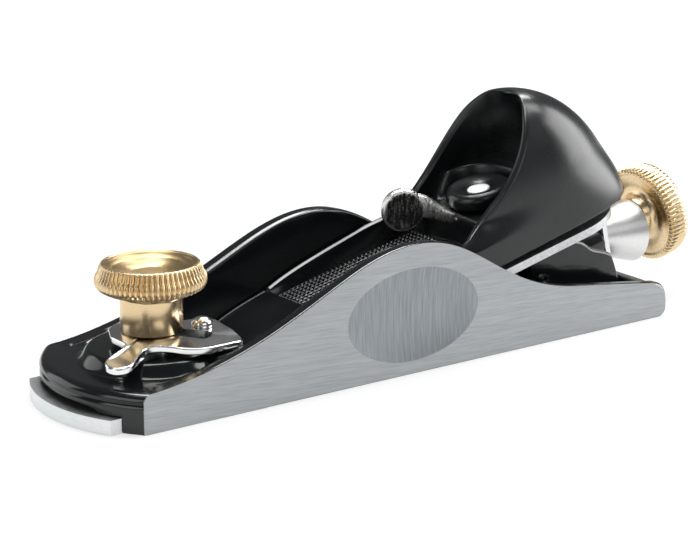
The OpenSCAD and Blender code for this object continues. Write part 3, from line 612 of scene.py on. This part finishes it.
def wheelLine():  # hub, hollow front, rim and rear face, in radius and length
    v = wheel
    r, hub, front, rear = v["radius"], v["hub"], -v["half"], v["half"]
    nose = front - v["hubLength"]
    return chain(
        [(0, nose), (hub - 0.5, nose), (hub, nose + 0.5)],
        bend((hub, front - 0.2), (hub + 1.2, front + 1.9), (r - 4.6, front + 1.5), (r - 1.4, front - 0.1), 16),
        bend((r - 0.9, front - 0.1), (r - 0.1, front), (r, front + 0.5), (r, front + 1.1), 12),
        [(r, x) for x in linspace(front + 1.25, rear - 2.2, 24)],
        bend((r, rear - 2.0), (r - 0.1, rear - 0.4), (r - 1.2, rear + 0.5), (r - 2.2, rear + 0.4), 10),
        bend((r - 3, rear + 0.2), (r - 4, rear - 0.7), (hub, rear - 0.8), (0, rear - 0.8), 10))


addPiece("wheel_turned", [turnedOnScrew(wheelLine(), wheel["u"], 896, wheelRidges)], "wheel", brass,
         ["depth_wheel"], crease=85)

# ---- lever cap ----
cap = {"half": 17.5, "front": 6.6, "rear": 120.5, "top": 37.2, "topAt": 93, "foot": 3.0, "footRound": 0.8,
       "crown": 36.82, "stride": 30, "floorAt": 25, "floor": 5.7, "slope": 0.006, "thumbHalf": 15.3, "step": 26.4,
       "low": 2.2, "gap": 2.9, "gapAt": 67, "gapSlope": 0.02, "railAt": 64, "railEdge": 1.1, "railFall": 0.445,
       "rimThick": 2.5, "rimFall": 0.15, "wellAt": 86, "wellReach": 11, "wellHalf": 13.2, "wellRun": 41.4,
       "wellTurn": 19.4, "screwAt": 81, "plateAt": 103, "plateHalf": 16.3}
studs = {"pitch": 1.33, "height": 0.5, "half": 15.2, "lipAt": 14.75, "lip": 0.31}
well = {"at": 80.3, "longHalf": 11.2, "wideHalf": 13.0, "edge": 18.0, "moat": 12.6, "collar": 8.2,
        "collarTop": 17.3, "collarLow": 12.7, "dish": 16.5, "hole": 3.0}
black = enamelFinish("gloss black enamel", rougher=0.14)


def bedSlab(u, y, top, low):  # a closed sheet between an upper and a lower face over a grid of u and y
    y, top, low = np.broadcast_arrays(y, top, low)
    return tube(onBed(u[:, None], np.hstack([y, y[:, ::-1]]), np.hstack([top, low[:, ::-1]])))


def hoodShare(w):  # 0 at the hood's foot, 1 at its top
    return clip((w - cap["foot"]) / (cap["top"] - cap["foot"]), 0, 1)


def hoodHalf(w):  # half width from an oval law
    return cap["half"] * (1 - hoodShare(w) ** 3.2) ** (1 / 2.4)


def hoodReach(w):  # how far the hood runs behind its top, from an oval law of power 1.8
    return (cap["rear"] - cap["topAt"]) * (1 - hoodShare(w) ** 1.8) ** (1 / 1.8)


def hoodPower(w):  # power of the oval in plan: squarer at the foot
    return 2 + 0.9 * (1 - ease(w, 3, 18))


def hoodPoint(p, w):
    # Plan of the outside at a height: p from 0 to 1 goes round the rear quarter, and above 1 forward along the side.
    turn = clip(p, 0, 1) * pi / 2
    ahead = clip(p - 1, 0, 5) * cap["stride"]
    u = cap["topAt"] + hoodReach(w) * cos(turn) ** (2 / hoodPower(w)) - ahead
    lean = arc(clip(ahead / 48, 0, 0.95)) * ease(u, 56, 70)
    y = hoodHalf(w) * sin(turn) ** (2 / hoodPower(w)) * (1 - lean * ease(w, 9, 15.4))
    return u, y - 0.35 * (1 - ease(u, cap["front"], 9)) * (ahead > 0)


def capRim():
    # Upper edge of the cap in side view, from the hood's crown down its rim, along the rail and over the nose.
    crownEnd = (cap["topAt"] + hoodReach(cap["crown"]), cap["crown"])
    nose = bend((cap["front"], 3.5), (9, 5.0), (14, 6.6), (26.1, 7.4), 24)
    rail = bend((26.5, 7.9), (35, 10.5), (50, 11.1), (cap["railAt"], 12.7), 60)
    climb = bend((cap["railAt"], 12.7), (78, 17.3), (84, 23.6), (95, 38), 160)
    climb = climb[climb[:, 1] < 31.7]
    crown = bend(climb[-1], climb[-1] + (1.4, 1.85), (94.8, 36.1), crownEnd, 60)
    return chain(nose, rail, climb[1:], crown[1:])[::-1]


def capFloor(u):  # an even slope
    return cap["floor"] + (u - cap["floorAt"]) * cap["slope"]


def capUnder(u):  # the underside is flat to the cutter at the nose and lifts off it towards the rear
    low = cap["low"] + (cap["gap"] - cap["low"]) * ease(u, 12, 16)
    return low + clip(u - cap["gapAt"], 0, 60) * cap["gapSlope"]


def capInside(at, railStart, u, w):
    # The line where the inner wall meets the floor: an oval round the well's rear, then along the rails.
    c = cap
    run = c["wellRun"] * clip(at / railStart, 0, 1)
    turn = clip(run / c["wellTurn"], 0, 1) * pi / 2
    rear = c["wellAt"] + c["wellReach"] * cos(turn) ** 0.77 - maximum(run - c["wellTurn"], 0)
    floorU = where(at < railStart, rear, u)
    floorY = c["wellHalf"] * sin(turn) ** 0.77
    floorY = where(floorU < 78, mix(c["thumbHalf"], floorY, ease(floorU, 64, 76)), floorY)
    rise = mix(capFloor(floorU), 10.5, ease(floorU, 66, 74)) - 0.1
    floorW = where(floorU < c["step"], np.interp(floorU, u[::-1], w[::-1]) - 0.03, rise)
    return stack([floorU, floorY, floorW], 1)


def capShell():
    # One ring of points per station along the rim: up the outside, over the rim, down inside and back below.
    c = cap
    hoodLength, stride, footRound = c["rear"] - c["topAt"], c["stride"], c["footRound"]
    u, w = capRim().T
    ratio = clip((u - c["topAt"]) / maximum(hoodReach(w), 1e-6), 0, 1)
    p = where(u > c["topAt"], np.arccos(ratio ** (hoodPower(w) / 2)) * 2 / pi, 1 + (c["topAt"] - u) / stride)
    p[0] = 0
    rimU, rimY = hoodPoint(p, w)
    run = lengths(stack([rimU, rimY, w], 1))
    at = even(230) ** 1.15 * run[-1]
    p, w = np.interp(at, run, p), np.interp(at, run, w)
    u, y = hoodPoint(p, w)
    railStart = np.interp(-c["railAt"], -rimU, run)
    # The foot's line goes round the rear in 37 parts of its run and along the side in 29 more.
    pAhead = 1 + (c["topAt"] - c["railAt"]) / stride
    pFoot = where(at < railStart, np.interp(66 * at / railStart, [0, 37, 66], [0, 1, pAhead]), p)
    low = capUnder(hoodPoint(pFoot, np.full(len(at), c["foot"]))[0])[:, None]
    # Outside, from a small round at the foot up to the rim.
    t = even(46)[None]
    level = low + footRound + (w[:, None] - low - footRound) * sin(t * pi / 2)
    outU, outY = hoodPoint(mix(pFoot[:, None], p[:, None], t), level)
    outer = stack([outU, outY, level], -1)
    a = upTo90(5)[:-1]
    inset = footRound * (1 - sin(a))
    behind = outU[:, :1] - c["topAt"]
    foot = stack([behind * (1 - inset / hoodLength * (behind > 0)) + c["topAt"],
                  outY[:, :1] * (1 - inset / c["half"]), low + footRound * (1 - cos(a))], -1)
    # The rim's inner edge, and the inner wall as one curve from it down to the floor.
    crown = cos(clip(p, 0, 1) * pi / 2)
    side = 1 - crown ** 2
    onRail = 1 - ease(u, 60, 74)
    onNose = 1 - ease(u, c["step"] - 0.3, c["step"] + 0.3)
    thick = mix(mix(c["rimThick"], c["railEdge"], onRail), 0.3, onNose)
    fallen = c["rimFall"] + (c["railFall"] - c["rimFall"]) * onRail * (1 - onNose)
    innerEdge = stack([u - 1.2 * crown, y - thick * sqrt(side), w - 1.1 * crown - fallen * side], 1)
    floorLine = capInside(at, railStart, u, w)
    drop = maximum(w - floorLine[:, 2], 0.05)
    hoodStart = stack([0.3 + 3.3 * crown, 0.2 * side, -mix(drop * 0.35, 4.5, crown)], 1)
    hoodStop = stack([0.5 + 4.0 * crown, 0.9 * side, mix(drop * 0.3, 9.0, crown)], 1)
    flat = np.zeros(len(at))
    railStartWay = stack([flat, flat - 0.3, -1.0 * (1 - onNose)], 1)
    railStopWay = stack([flat, flat + 0.1, 0.5 * (1 - onNose)], 1)
    share = onRail[:, None]
    inside = strands(innerEdge, innerEdge + mix(hoodStart, railStartWay, share),
                     floorLine + mix(hoodStop, railStopWay, share), floorLine, even(36) ** 1.2)
    # Over the rim a curve leaves both walls along their own slopes; the rails get a level edge that leans inwards.
    outerEdge = outer[:, -1]
    wide = np.linalg.norm(innerEdge - outerEdge, axis=1)[:, None] * mix(0.62, 0.3, share)
    bead = strands(outerEdge, outerEdge + unit(outerEdge - outer[:, -3]) * wide,
                   innerEdge + unit(inside[:, 0] - inside[:, 2]) * wide, innerEdge, even(12))
    s = even(12)
    lean = stack([0 * s, -c["railEdge"] * s, -c["railFall"] * clip((s - 0.3) / 0.7, 0, 1)], -1)
    bead = mix(bead, outerEdge[:, None] + lean, (onRail * (1 - onNose))[:, None, None])
    under = np.hstack([floorLine[:, :2], low + 0.1])[:, None]
    ring = np.hstack([foot, outer, bead[:, 1:-1], inside, under])
    both = chain((ring * (1, -1, 1))[::-1], ring[1:])
    return tube(onBed(both[..., 0], both[..., 1], both[..., 2]))


def thumbFloor():
    # The nose follows the rim down to a step, with a small lip behind it, and the rest is flat.
    c = cap
    step = c["step"]
    u = chain(linspace(c["front"], step - 0.5, 30), linspace(step - 0.4, step + 0.4, 9),
              linspace(step + 0.6, 74, 40))
    rimU, rimW = capRim()[::-1].T
    nose = np.interp(u, rimU, rimW) - 0.03
    lip = 0.42 * ease(u, step - 0.2, step + 0.1) * (1 - ease(u, step + 0.4, step + 0.9))
    top = mix(nose, capFloor(u), ease(u, step - 0.25, step + 0.25)) + lip
    half = c["thumbHalf"] + 0.5 * (1 - ease(u, step, step + 0.5))
    return bedSlab(u, half[:, None] * linspace(-1, 1, 9), top[:, None], capUnder(u)[:, None] + 0.1)


def underPlate():  # a thin plate that closes the hood from below
    at, wide = cap["plateAt"], cap["plateHalf"]
    u = chain([60], linspace(70, at, 20), at + wide * sin(upTo90(16)[1:]))
    half = where(u > at, sqrt(maximum(wide ** 2 - (u - at) ** 2, 0.3)), wide)
    low = capUnder(u)[:, None]
    return bedSlab(u, half[:, None] * linspace(-1, 1, 9), low + 2.5, low + 0.12)


def thumbPanel():
    # Small studs in square rows: the height is the product of two waves, one along the panel and one across.
    s, step = studs, cap["step"]
    u = linspace(step + 0.5, 70, 262)
    x, y = u[:, None], linspace(-s["half"], s["half"], 184)
    wave = 0.25 * (1 + cos(2 * pi * x / s["pitch"])) * (1 + cos(2 * pi * y / s["pitch"]))
    border = ease(s["half"] - np.abs(y), 0.1, 0.6) * ease(x, step + 0.5, step + 1.0)
    lip = s["lip"] * maximum(np.abs(y) - s["lipAt"], 0)
    return bedSlab(u, y, capFloor(x) + 0.06 + s["height"] * wave ** 1.2 * border + lip, cap["floor"] - 1.6)


def pocket():
    # A rounded square wall stands round the collar, with a moat between them that opens forward.
    k = well
    u = linspace(66.5, 100, 150)
    x, y = u[:, None], linspace(-14.6, 14.6, 120)
    ring = (np.abs((x - k["at"]) / k["longHalf"]) ** 2.7 + np.abs(y / k["wideHalf"]) ** 2.7) ** (1 / 2.7)
    crest = k["edge"] - 6.5 * (1 - ease(x, 73.5, 82.5))
    outside = mix(crest + 0.4, 8.0, 1 - ease(x, 70, 78)) + 0.8 * ease(x, 90, 98)
    top = mix(k["moat"], maximum(crest, k["moat"]), ease(ring, 0.8, 0.97))
    top = mix(top, outside, ease(ring, 1.0, 1.17))
    top = mix(cap["floor"], top, ease(x + 0.12 * np.abs(y), 70.5, 73.5))
    return bedSlab(u, y, top, cap["floor"] - 1.3)


def collarRing():  # a ring with a round foot and shoulder, and a dish that falls to the screw's hole
    k = well
    r, top, low, hole, dish = k["collar"], k["collarTop"], k["collarLow"], k["hole"], k["dish"]
    line = chain(
        [(0.0, low), (r - 2.1, low)], quarter(r - 2.0, low + 2.0, 2.0, 2.0, -90, 0, 9),
        quarter(r - 1.7, top - 1.9, 1.7, 1.9, 0, 84, 11),
        bend((r - 1.6, top - 0.02), (r - 2.4, top - 0.1), (hole + 1.0, dish + 0.35), (hole, dish - 0.1), 14)[1:],
        [(hole - 0.1, dish - 1.2), (0.0, dish - 1.2)])
    return turnedOffBed(line, cap["screwAt"], 128)


def collarNeck():  # the collar's stem joins it to the floor behind
    low = well["collarLow"]
    line = chain([(0, 6), (5.4, 6)], bend((5.4, 9), (5.4, low), (5.5, low), (6.2, low + 0.6), 6),
                 [(0, low + 0.6)])
    return turnedOffBed(line, cap["screwAt"] + 1.4, 64)


def screwHead():  # a rod, and above it a low domed head
    edge, dish = well["hole"] - 0.15, well["dish"]
    line = chain([(0, -14), (2.6, -14), (2.6, 12), (edge, 12)],
                 bend((edge, dish - 0.5), (edge, dish - 0.1), (edge - 0.35, dish + 0.05), (0, dish + 0.1), 8))
    return turnedOffBed(line, cap["screwAt"], 64)


addPiece("cap_shell", [capShell()], "frame", black, ["lever_cap"], crease=60)
addPiece("cap_floor", [thumbFloor(), underPlate()], "frame", black, crease=40)
addPiece("cap_thumb_panel", [thumbPanel()], "frame", enamelFinish("gloss black studs", 0.1),
         crease=60)
addPiece("cap_pocket", [pocket(), collarRing(), collarNeck()], "frame", black, crease=50)
brightSteel = steelFinish("bright plated steel", (0.70, 0.71, 0.71), (0.84, 0.85, 0.85), 0.16, (1, 1, 1), 300)
headSteel = steelFinish("filed screw head", (0.88, 0.88, 0.87), (0.97, 0.97, 0.96), 0.62, (1, 1, 1), 900, 0.00002)
addPiece("cap_screw_head", [screwHead()], "frame", headSteel, ["cap_screw"], crease=50)

# ---- cam lever ----
cam = {"hubRadius": 8.5, "hubLow": 8.6, "hubTop": 11.8, "hole": 5.6, "tabAt": 19.45, "tabHeight": 15.9,
       "tabRadius": 5.4, "tabHalf": 1.45, "tabEdge": 1.1, "rest": 24.3}
castLook = {"dark": (0.05, 0.051, 0.052), "light": (0.86, 0.85, 0.82), "roughness": 0.5, "smoother": -0.22,
            "depth": 0.00022}
armDir = array([-cos(cam["rest"] * rad), sin(cam["rest"] * rad)])
faceDir = array([-armDir[1], armDir[0]])


def onCam(a, n, w):  # a runs out along the arm, n is towards the tab's face
    a, n, w = np.broadcast_arrays(a, n, w)
    return onBed(cap["screwAt"] + a * armDir[0] + n * faceDir[0], a * armDir[1] + n * faceDir[1], w)


tabCentre = onCam(cam["tabAt"], 0, cam["tabHeight"])
tabAxis = onCam(0, 1, 0) - onCam(0, 0, 0)


def camTab():  # a disc with quarter rounds at its edges and one face a little hollow
    r, h, edge = cam["tabRadius"], cam["tabHalf"], cam["tabEdge"]
    line = chain(bend((0, -h), (r * 0.5, -h), (r - 1.6, -h - 0.05), (r - edge, -h), 8),
                 quarter(r - edge, -h + edge, edge, edge, -90, 0, 6),
                 quarter(r - edge, h - edge, edge, edge, 0, 90, 7),
                 bend((r - 1.4, h), (r - 2.0, h - 0.05), (r * 0.5, h - 0.22), (0, h - 0.25), 8))
    return turned(line, tabCentre, tabAxis, (-sinBed, 0, cosBed), 96)


def camNeck():
    # A bar with a rounded oblong section, carried down from the tab to the hub.
    path = bend((16.8, 0, 16.0), (13.0, 0, 15.9), (12.0, 0.4, 12.4), (6.0, 0.8, 10.8), 26)
    t = linspace(0, 1, len(path))
    height = mix(6.2, 3.4, ease(t, 0.0, 0.75))[:, None]
    wide = mix(2.7, 4.6, t)[:, None]
    a = np.arange(28) * 2 * pi / 28
    across, up = (np.sign(part) * np.abs(part) ** 0.5 for part in (cos(a), sin(a)))
    tilt = np.arctan(np.gradient(path[:, 2], path[:, 0]))[:, None]
    rise = up * height / 2
    return tube(onCam(path[:, :1] - rise * sin(tilt), path[:, 1:2] + across * wide / 2,
                      path[:, 2:] + rise * cos(tilt)))


def camHub():  # a flat ring with its upper edge rounded
    r, low, top, hole = cam["hubRadius"], cam["hubLow"], cam["hubTop"], cam["hole"]
    line = chain([(hole, low), (r - 0.6, low)], quarter(r - 0.6, top - 0.8, 0.6, 0.8, 0, 90, 5),
                 [(hole, top), (hole, low)])
    return turnedOffBed(line, cap["screwAt"], 96)


def castFinish():
    # Rough dark casting, bright on its high grains as wear, and bright on the tab's rim as wear and as a painted
    # highlight.
    f = Finish("cast lever steel", Metallic=1.0)
    wornAndSheen = f.node("ShaderNodeAttribute", {"attribute_name": "wearAndSheen"}, output="Fac")
    grain = f.noise(1700, (1, 1, 0.22), 3, 0.6)
    pits = f.noise(2600, detail=2, rough=0.5)
    # painted highlight: the bright colour on the tab's rim stands partly for worn metal and partly for light caught
    # by the rim
    bright = (wornAndSheen * 0.75 + grain + pits * 0.45).over(0.88, 0.2)
    f.feed("Base Color", f.colours(bright, castLook["dark"], castLook["light"]))
    f.feed("Roughness", bright * castLook["smoother"] + castLook["roughness"])
    f.bumps(grain * 0.6 + pits * 0.6, castLook["depth"], 0.9)
    return f.material


# Share of bright metal at each point of the lever, partly wear and partly painted highlight.
def camWearAndSheen(points):  # strongest on the upper part of the tab's rim, faint beyond the tab, 0 on its flat face
    r = cam["tabRadius"]
    off = points - tabCentre
    out = np.linalg.norm(off - (off @ tabAxis)[:, None] * tabAxis, axis=1)
    beyond = out >= r + 0.3
    # painted highlight: the rim is made brighter towards its upper side, where light from above falls
    up = ease(off @ array([-sinBed, 0, cosBed]), -2.0, 3.5)
    return where(beyond, 0.25, ease(out, r - 1.0, r - 0.3) * (0.45 + 0.55 * up))


addPiece("cam_lever_cast", [camTab(), camNeck(), camHub()], "cam", castFinish(), ["cam_lever"],
         crease=50, wearAndSheen=camWearAndSheen)

# ---- the lever's rivet ----
rivetHead = bend((2.5, 15.5), (2.5, 16.6), (1.5, 17.35), (0, 17.4), 12)
rivetLine = chain([(0, 5.2), (1.4, 5.2), (1.4, 15.0), (2.45, 15.25)], rivetHead)
addPiece("lever_rivet", [turnedUpright(rivetLine, middle("lever_pivot"), 48)], "frame",
         brightSteel, ["lever_pivot"], crease=50)

# ---- throat lever ----
leverPlan = {"low": 13.6, "thick": 1.6, "round": 0.4, "chamfer": 0.3, "slotHalf": 2.7, "slotEnd": (-53.4, -8.8),
             "droop": 0.009, "eye": 9, "sag": 0.8}
leverCorners = {  # each corner of the outline and the radius it is rounded to
    "rear near": (-46.2, -16.2, 2.8), "rear far": (-43.9, 2.0, 3.5), "waist": (-52.4, 2.8, 3.5),
    "eye rear": (-54.4, 9.4, 3.5), "eye far": (-66.4, 9.4, 6.0), "eye front": (-70.3, 1.2, 6.0),
    "tongue root": (-70.3, -6.2, 2.6), "tip left": (-79.9, -10.8, 3.4), "tip right": (-77.4, -18.0, 3.0),
    "near root": (-67.6, -9.4, 4.0), "near lobe": (-56.6, -16.5, 6.0)}


def throatLever():
    # A plate with rounded corners in plan: an eye round the stem, a broad rear end and a finger tongue that bends
    # down. Its slot runs round the line from the stem's middle to the slot's end.
    c = leverPlan
    edge = evenly(roundedCorners(list(leverCorners.values())), 300)
    start, stop = array([knobX, 0.0]), array(c["slotEnd"])
    way = stop - start
    spine = start + clip((edge - start) @ way / (way @ way), 0, 1)[:, None] * way
    slot = spine + unit(edge - spine) * c["slotHalf"]
    normal = inward(edge)
    upper = [(edge, c["thick"] - c["round"] * (1 - sin(t)), c["round"] * (1 - cos(t)))
             for t in upTo90(9)]
    rows = []
    for shape, high, inset in [(edge, 0, c["chamfer"]), (edge, c["chamfer"], 0), *upper, (slot, c["thick"], 0),
                               (slot, 0, 0)]:
        x, y = (shape + normal * inset).T
        far = maximum(np.hypot(x - knobX, y) - c["eye"], 0)
        tongue = c["droop"] * far ** 2 * (1 - ease(x, -70, -62))
        rear = c["sag"] * ease(-y, 9, 15) * ease(x, -66, -60)
        rows.append(stack([x, y, c["low"] + high - tongue - rear], 1))
    return tube(stack(rows), "joined")


leverSteel = steelFinish("polished lever steel", (0.74, 0.745, 0.745), (0.86, 0.865, 0.865), 0.17, (1, 1, 1), 260)
addPiece("throat_lever_plate", [throatLever()], "lever", leverSteel, ["throat_lever"], crease=40)

# ---- carried over CAD nodes take their finishes ----
carried = [
    ("bright_steel", brightSteel, ["post_pin"]),
    ("blade_steel", steelFinish("ground cutter steel", (0.20, 0.21, 0.22), (0.92, 0.93, 0.94), 0.36, (0.6, 1, 1),
                                1700, 0.00005), ["cutter"]),
    ("ground_iron", steelFinish("ground plate iron", (0.60, 0.62, 0.63), (0.88, 0.90, 0.90), 0.34, (1, 0.25, 1),
                                1500, 0.00002), ["throat_plate"]),
    ("nickel", steelFinish("nickelled steel", (0.66, 0.665, 0.66), (0.90, 0.905, 0.90), 0.38, (1, 1, 1),
                           1100, 0.00005), ["lateral_lever"]),
    ("bright_steel", steelFinish("plain turned steel", (0.42, 0.42, 0.43), (0.60, 0.60, 0.61), 0.3),
     ["throat_stud", "cam_pivot", "lateral_pivot", "lateral_disc", "disc_rivet", "adjuster_slide", "depth_screw",
      "screw_ring", "wheel_pin"])]
for slotName, finish, nodes in carried:
    for node in nodes:
        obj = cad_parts[node]
        obj.data.materials.clear()
        obj.data.materials.append(finish)
print("finishes given to the CAD nodes")

# ---- floor, light and camera ----
stageLook = {"floor": (0.80, 0.80, 0.80), "world": 0.12, "shadow": 0.35, "reach": 6, "below": 0.00002}


def stand(thing, spot, right, back):  # put in the scene at a spot, its x to the right and its z to the back
    turn = Matrix((right, back.cross(right), back)).transposed().to_4x4()
    thing.matrix_world = Matrix.Translation(spot) @ turn
    bpy.context.scene.collection.objects.link(thing)


def pale():
    # The floor shows almost white to the camera and in reflections, with part of its own shading for the shadow.
    paint = Finish("pale paper", **{"Roughness": 0.9, "Specular IOR Level": 0.0,
                                    "Base Color": (*stageLook["floor"], 1)})
    lit = paint.node("ShaderNodeEmission", {}, {"Color": (1, 1, 1, 1), "Strength": 1.0})
    camera, glossy, passed = (paint.node("ShaderNodeLightPath", output=name) for name in
                              ("Is Camera Ray", "Is Glossy Ray", "Is Transmission Ray"))
    seen = camera.math("MAXIMUM", glossy).math("MAXIMUM", passed)
    own = Wire(paint, paint.shader.outputs[0])
    cover = paint.node("ShaderNodeMixShader", {}, {0: seen * (1 - stageLook["shadow"]), 1: own, 2: lit})
    paint.tree.links.new(cover.socket, paint.tree.nodes["Material Output"].inputs["Surface"])
    return paint.material


floorMesh = bpy.data.meshes.new("floor")
far, below = stageLook["reach"], -stageLook["below"]
floorMesh.from_pydata([(-far, -far, below), (far, -far, below), (far, far, below), (-far, far, below)], [],
                      [(0, 1, 2, 3)])
floorMesh.materials.append(pale())
floor = bpy.data.objects.new("floor", floorMesh)
bpy.context.scene.collection.objects.link(floor)

world = bpy.data.worlds.new("studio")
bpy.context.scene.world = world
world.use_nodes = True
sky = world.node_tree.nodes["Background"]
sky.inputs["Color"].default_value = (1, 1, 1, 1)
sky.inputs["Strength"].default_value = stageLook["world"]

lamps = {  # place, the way its long side runs, size, brightness of its face; each faces the object
    "overhead": ((-0.2, 0.03, 1.12), (1, 0, 0), (0.7, 0.5), 2.4),
    "top strip": ((0.03, 0.02, 1.1), (1, 0, 0), (0.62, 0.13), 13),
    "upper strip": ((0.27, 0.47, 0.95), (0.87, 0.07, -0.22), (1.05, 0.15), 20),
    "right": ((0.97, -0.31, 0.42), (0.3, 0.95, 0), (0.75, 0.85), 6),
    "top right": ((0.52, -0.11, 0.98), (0.9, 0, -0.45), (0.42, 0.34), 7),
    "left rear": ((-0.62, 0.9, 0.3), (0.8, 0.6, 0), (0.7, 0.7), 1.6),
    "left": ((-1.05, -0.10, 0.35), (0, 1, 0), (0.6, 0.5), 2.0),
    "front": ((-0.1, -1.1, 0.65), (1, 0, 0), (0.8, 0.5), 1.6)}
for name, (spot, along, size, bright) in lamps.items():
    lamp = bpy.data.lights.new(name, "AREA")
    lamp.shape, lamp.size, lamp.size_y = "RECTANGLE", size[0], size[1]
    lamp.energy = bright * pi * size[0] * size[1]
    holder = bpy.data.objects.new(name, lamp)
    back = Vector(spot).normalized()
    stand(holder, Vector(spot), (Vector(along) - back * back.dot(Vector(along))).normalized(), back)

view = {"from": (-288.6, -385.3, 150.2), "right": (0.8064, -0.5914, 0.0), "ahead": (0.570, 0.777, -0.267),
        "lens": 108.06, "sensor": 36, "near": 0.01}
cameraData = bpy.data.cameras.new("camera")
cameraData.lens, cameraData.sensor_width, cameraData.clip_start = view["lens"], view["sensor"], view["near"]
camera = bpy.data.objects.new("camera", cameraData)
stand(camera, Vector(view["from"]) * mm, Vector(view["right"]).normalized(), -Vector(view["ahead"]).normalized())
bpy.context.scene.camera = camera
bpy.context.scene.view_settings.view_transform = "Standard"
print("stage set")
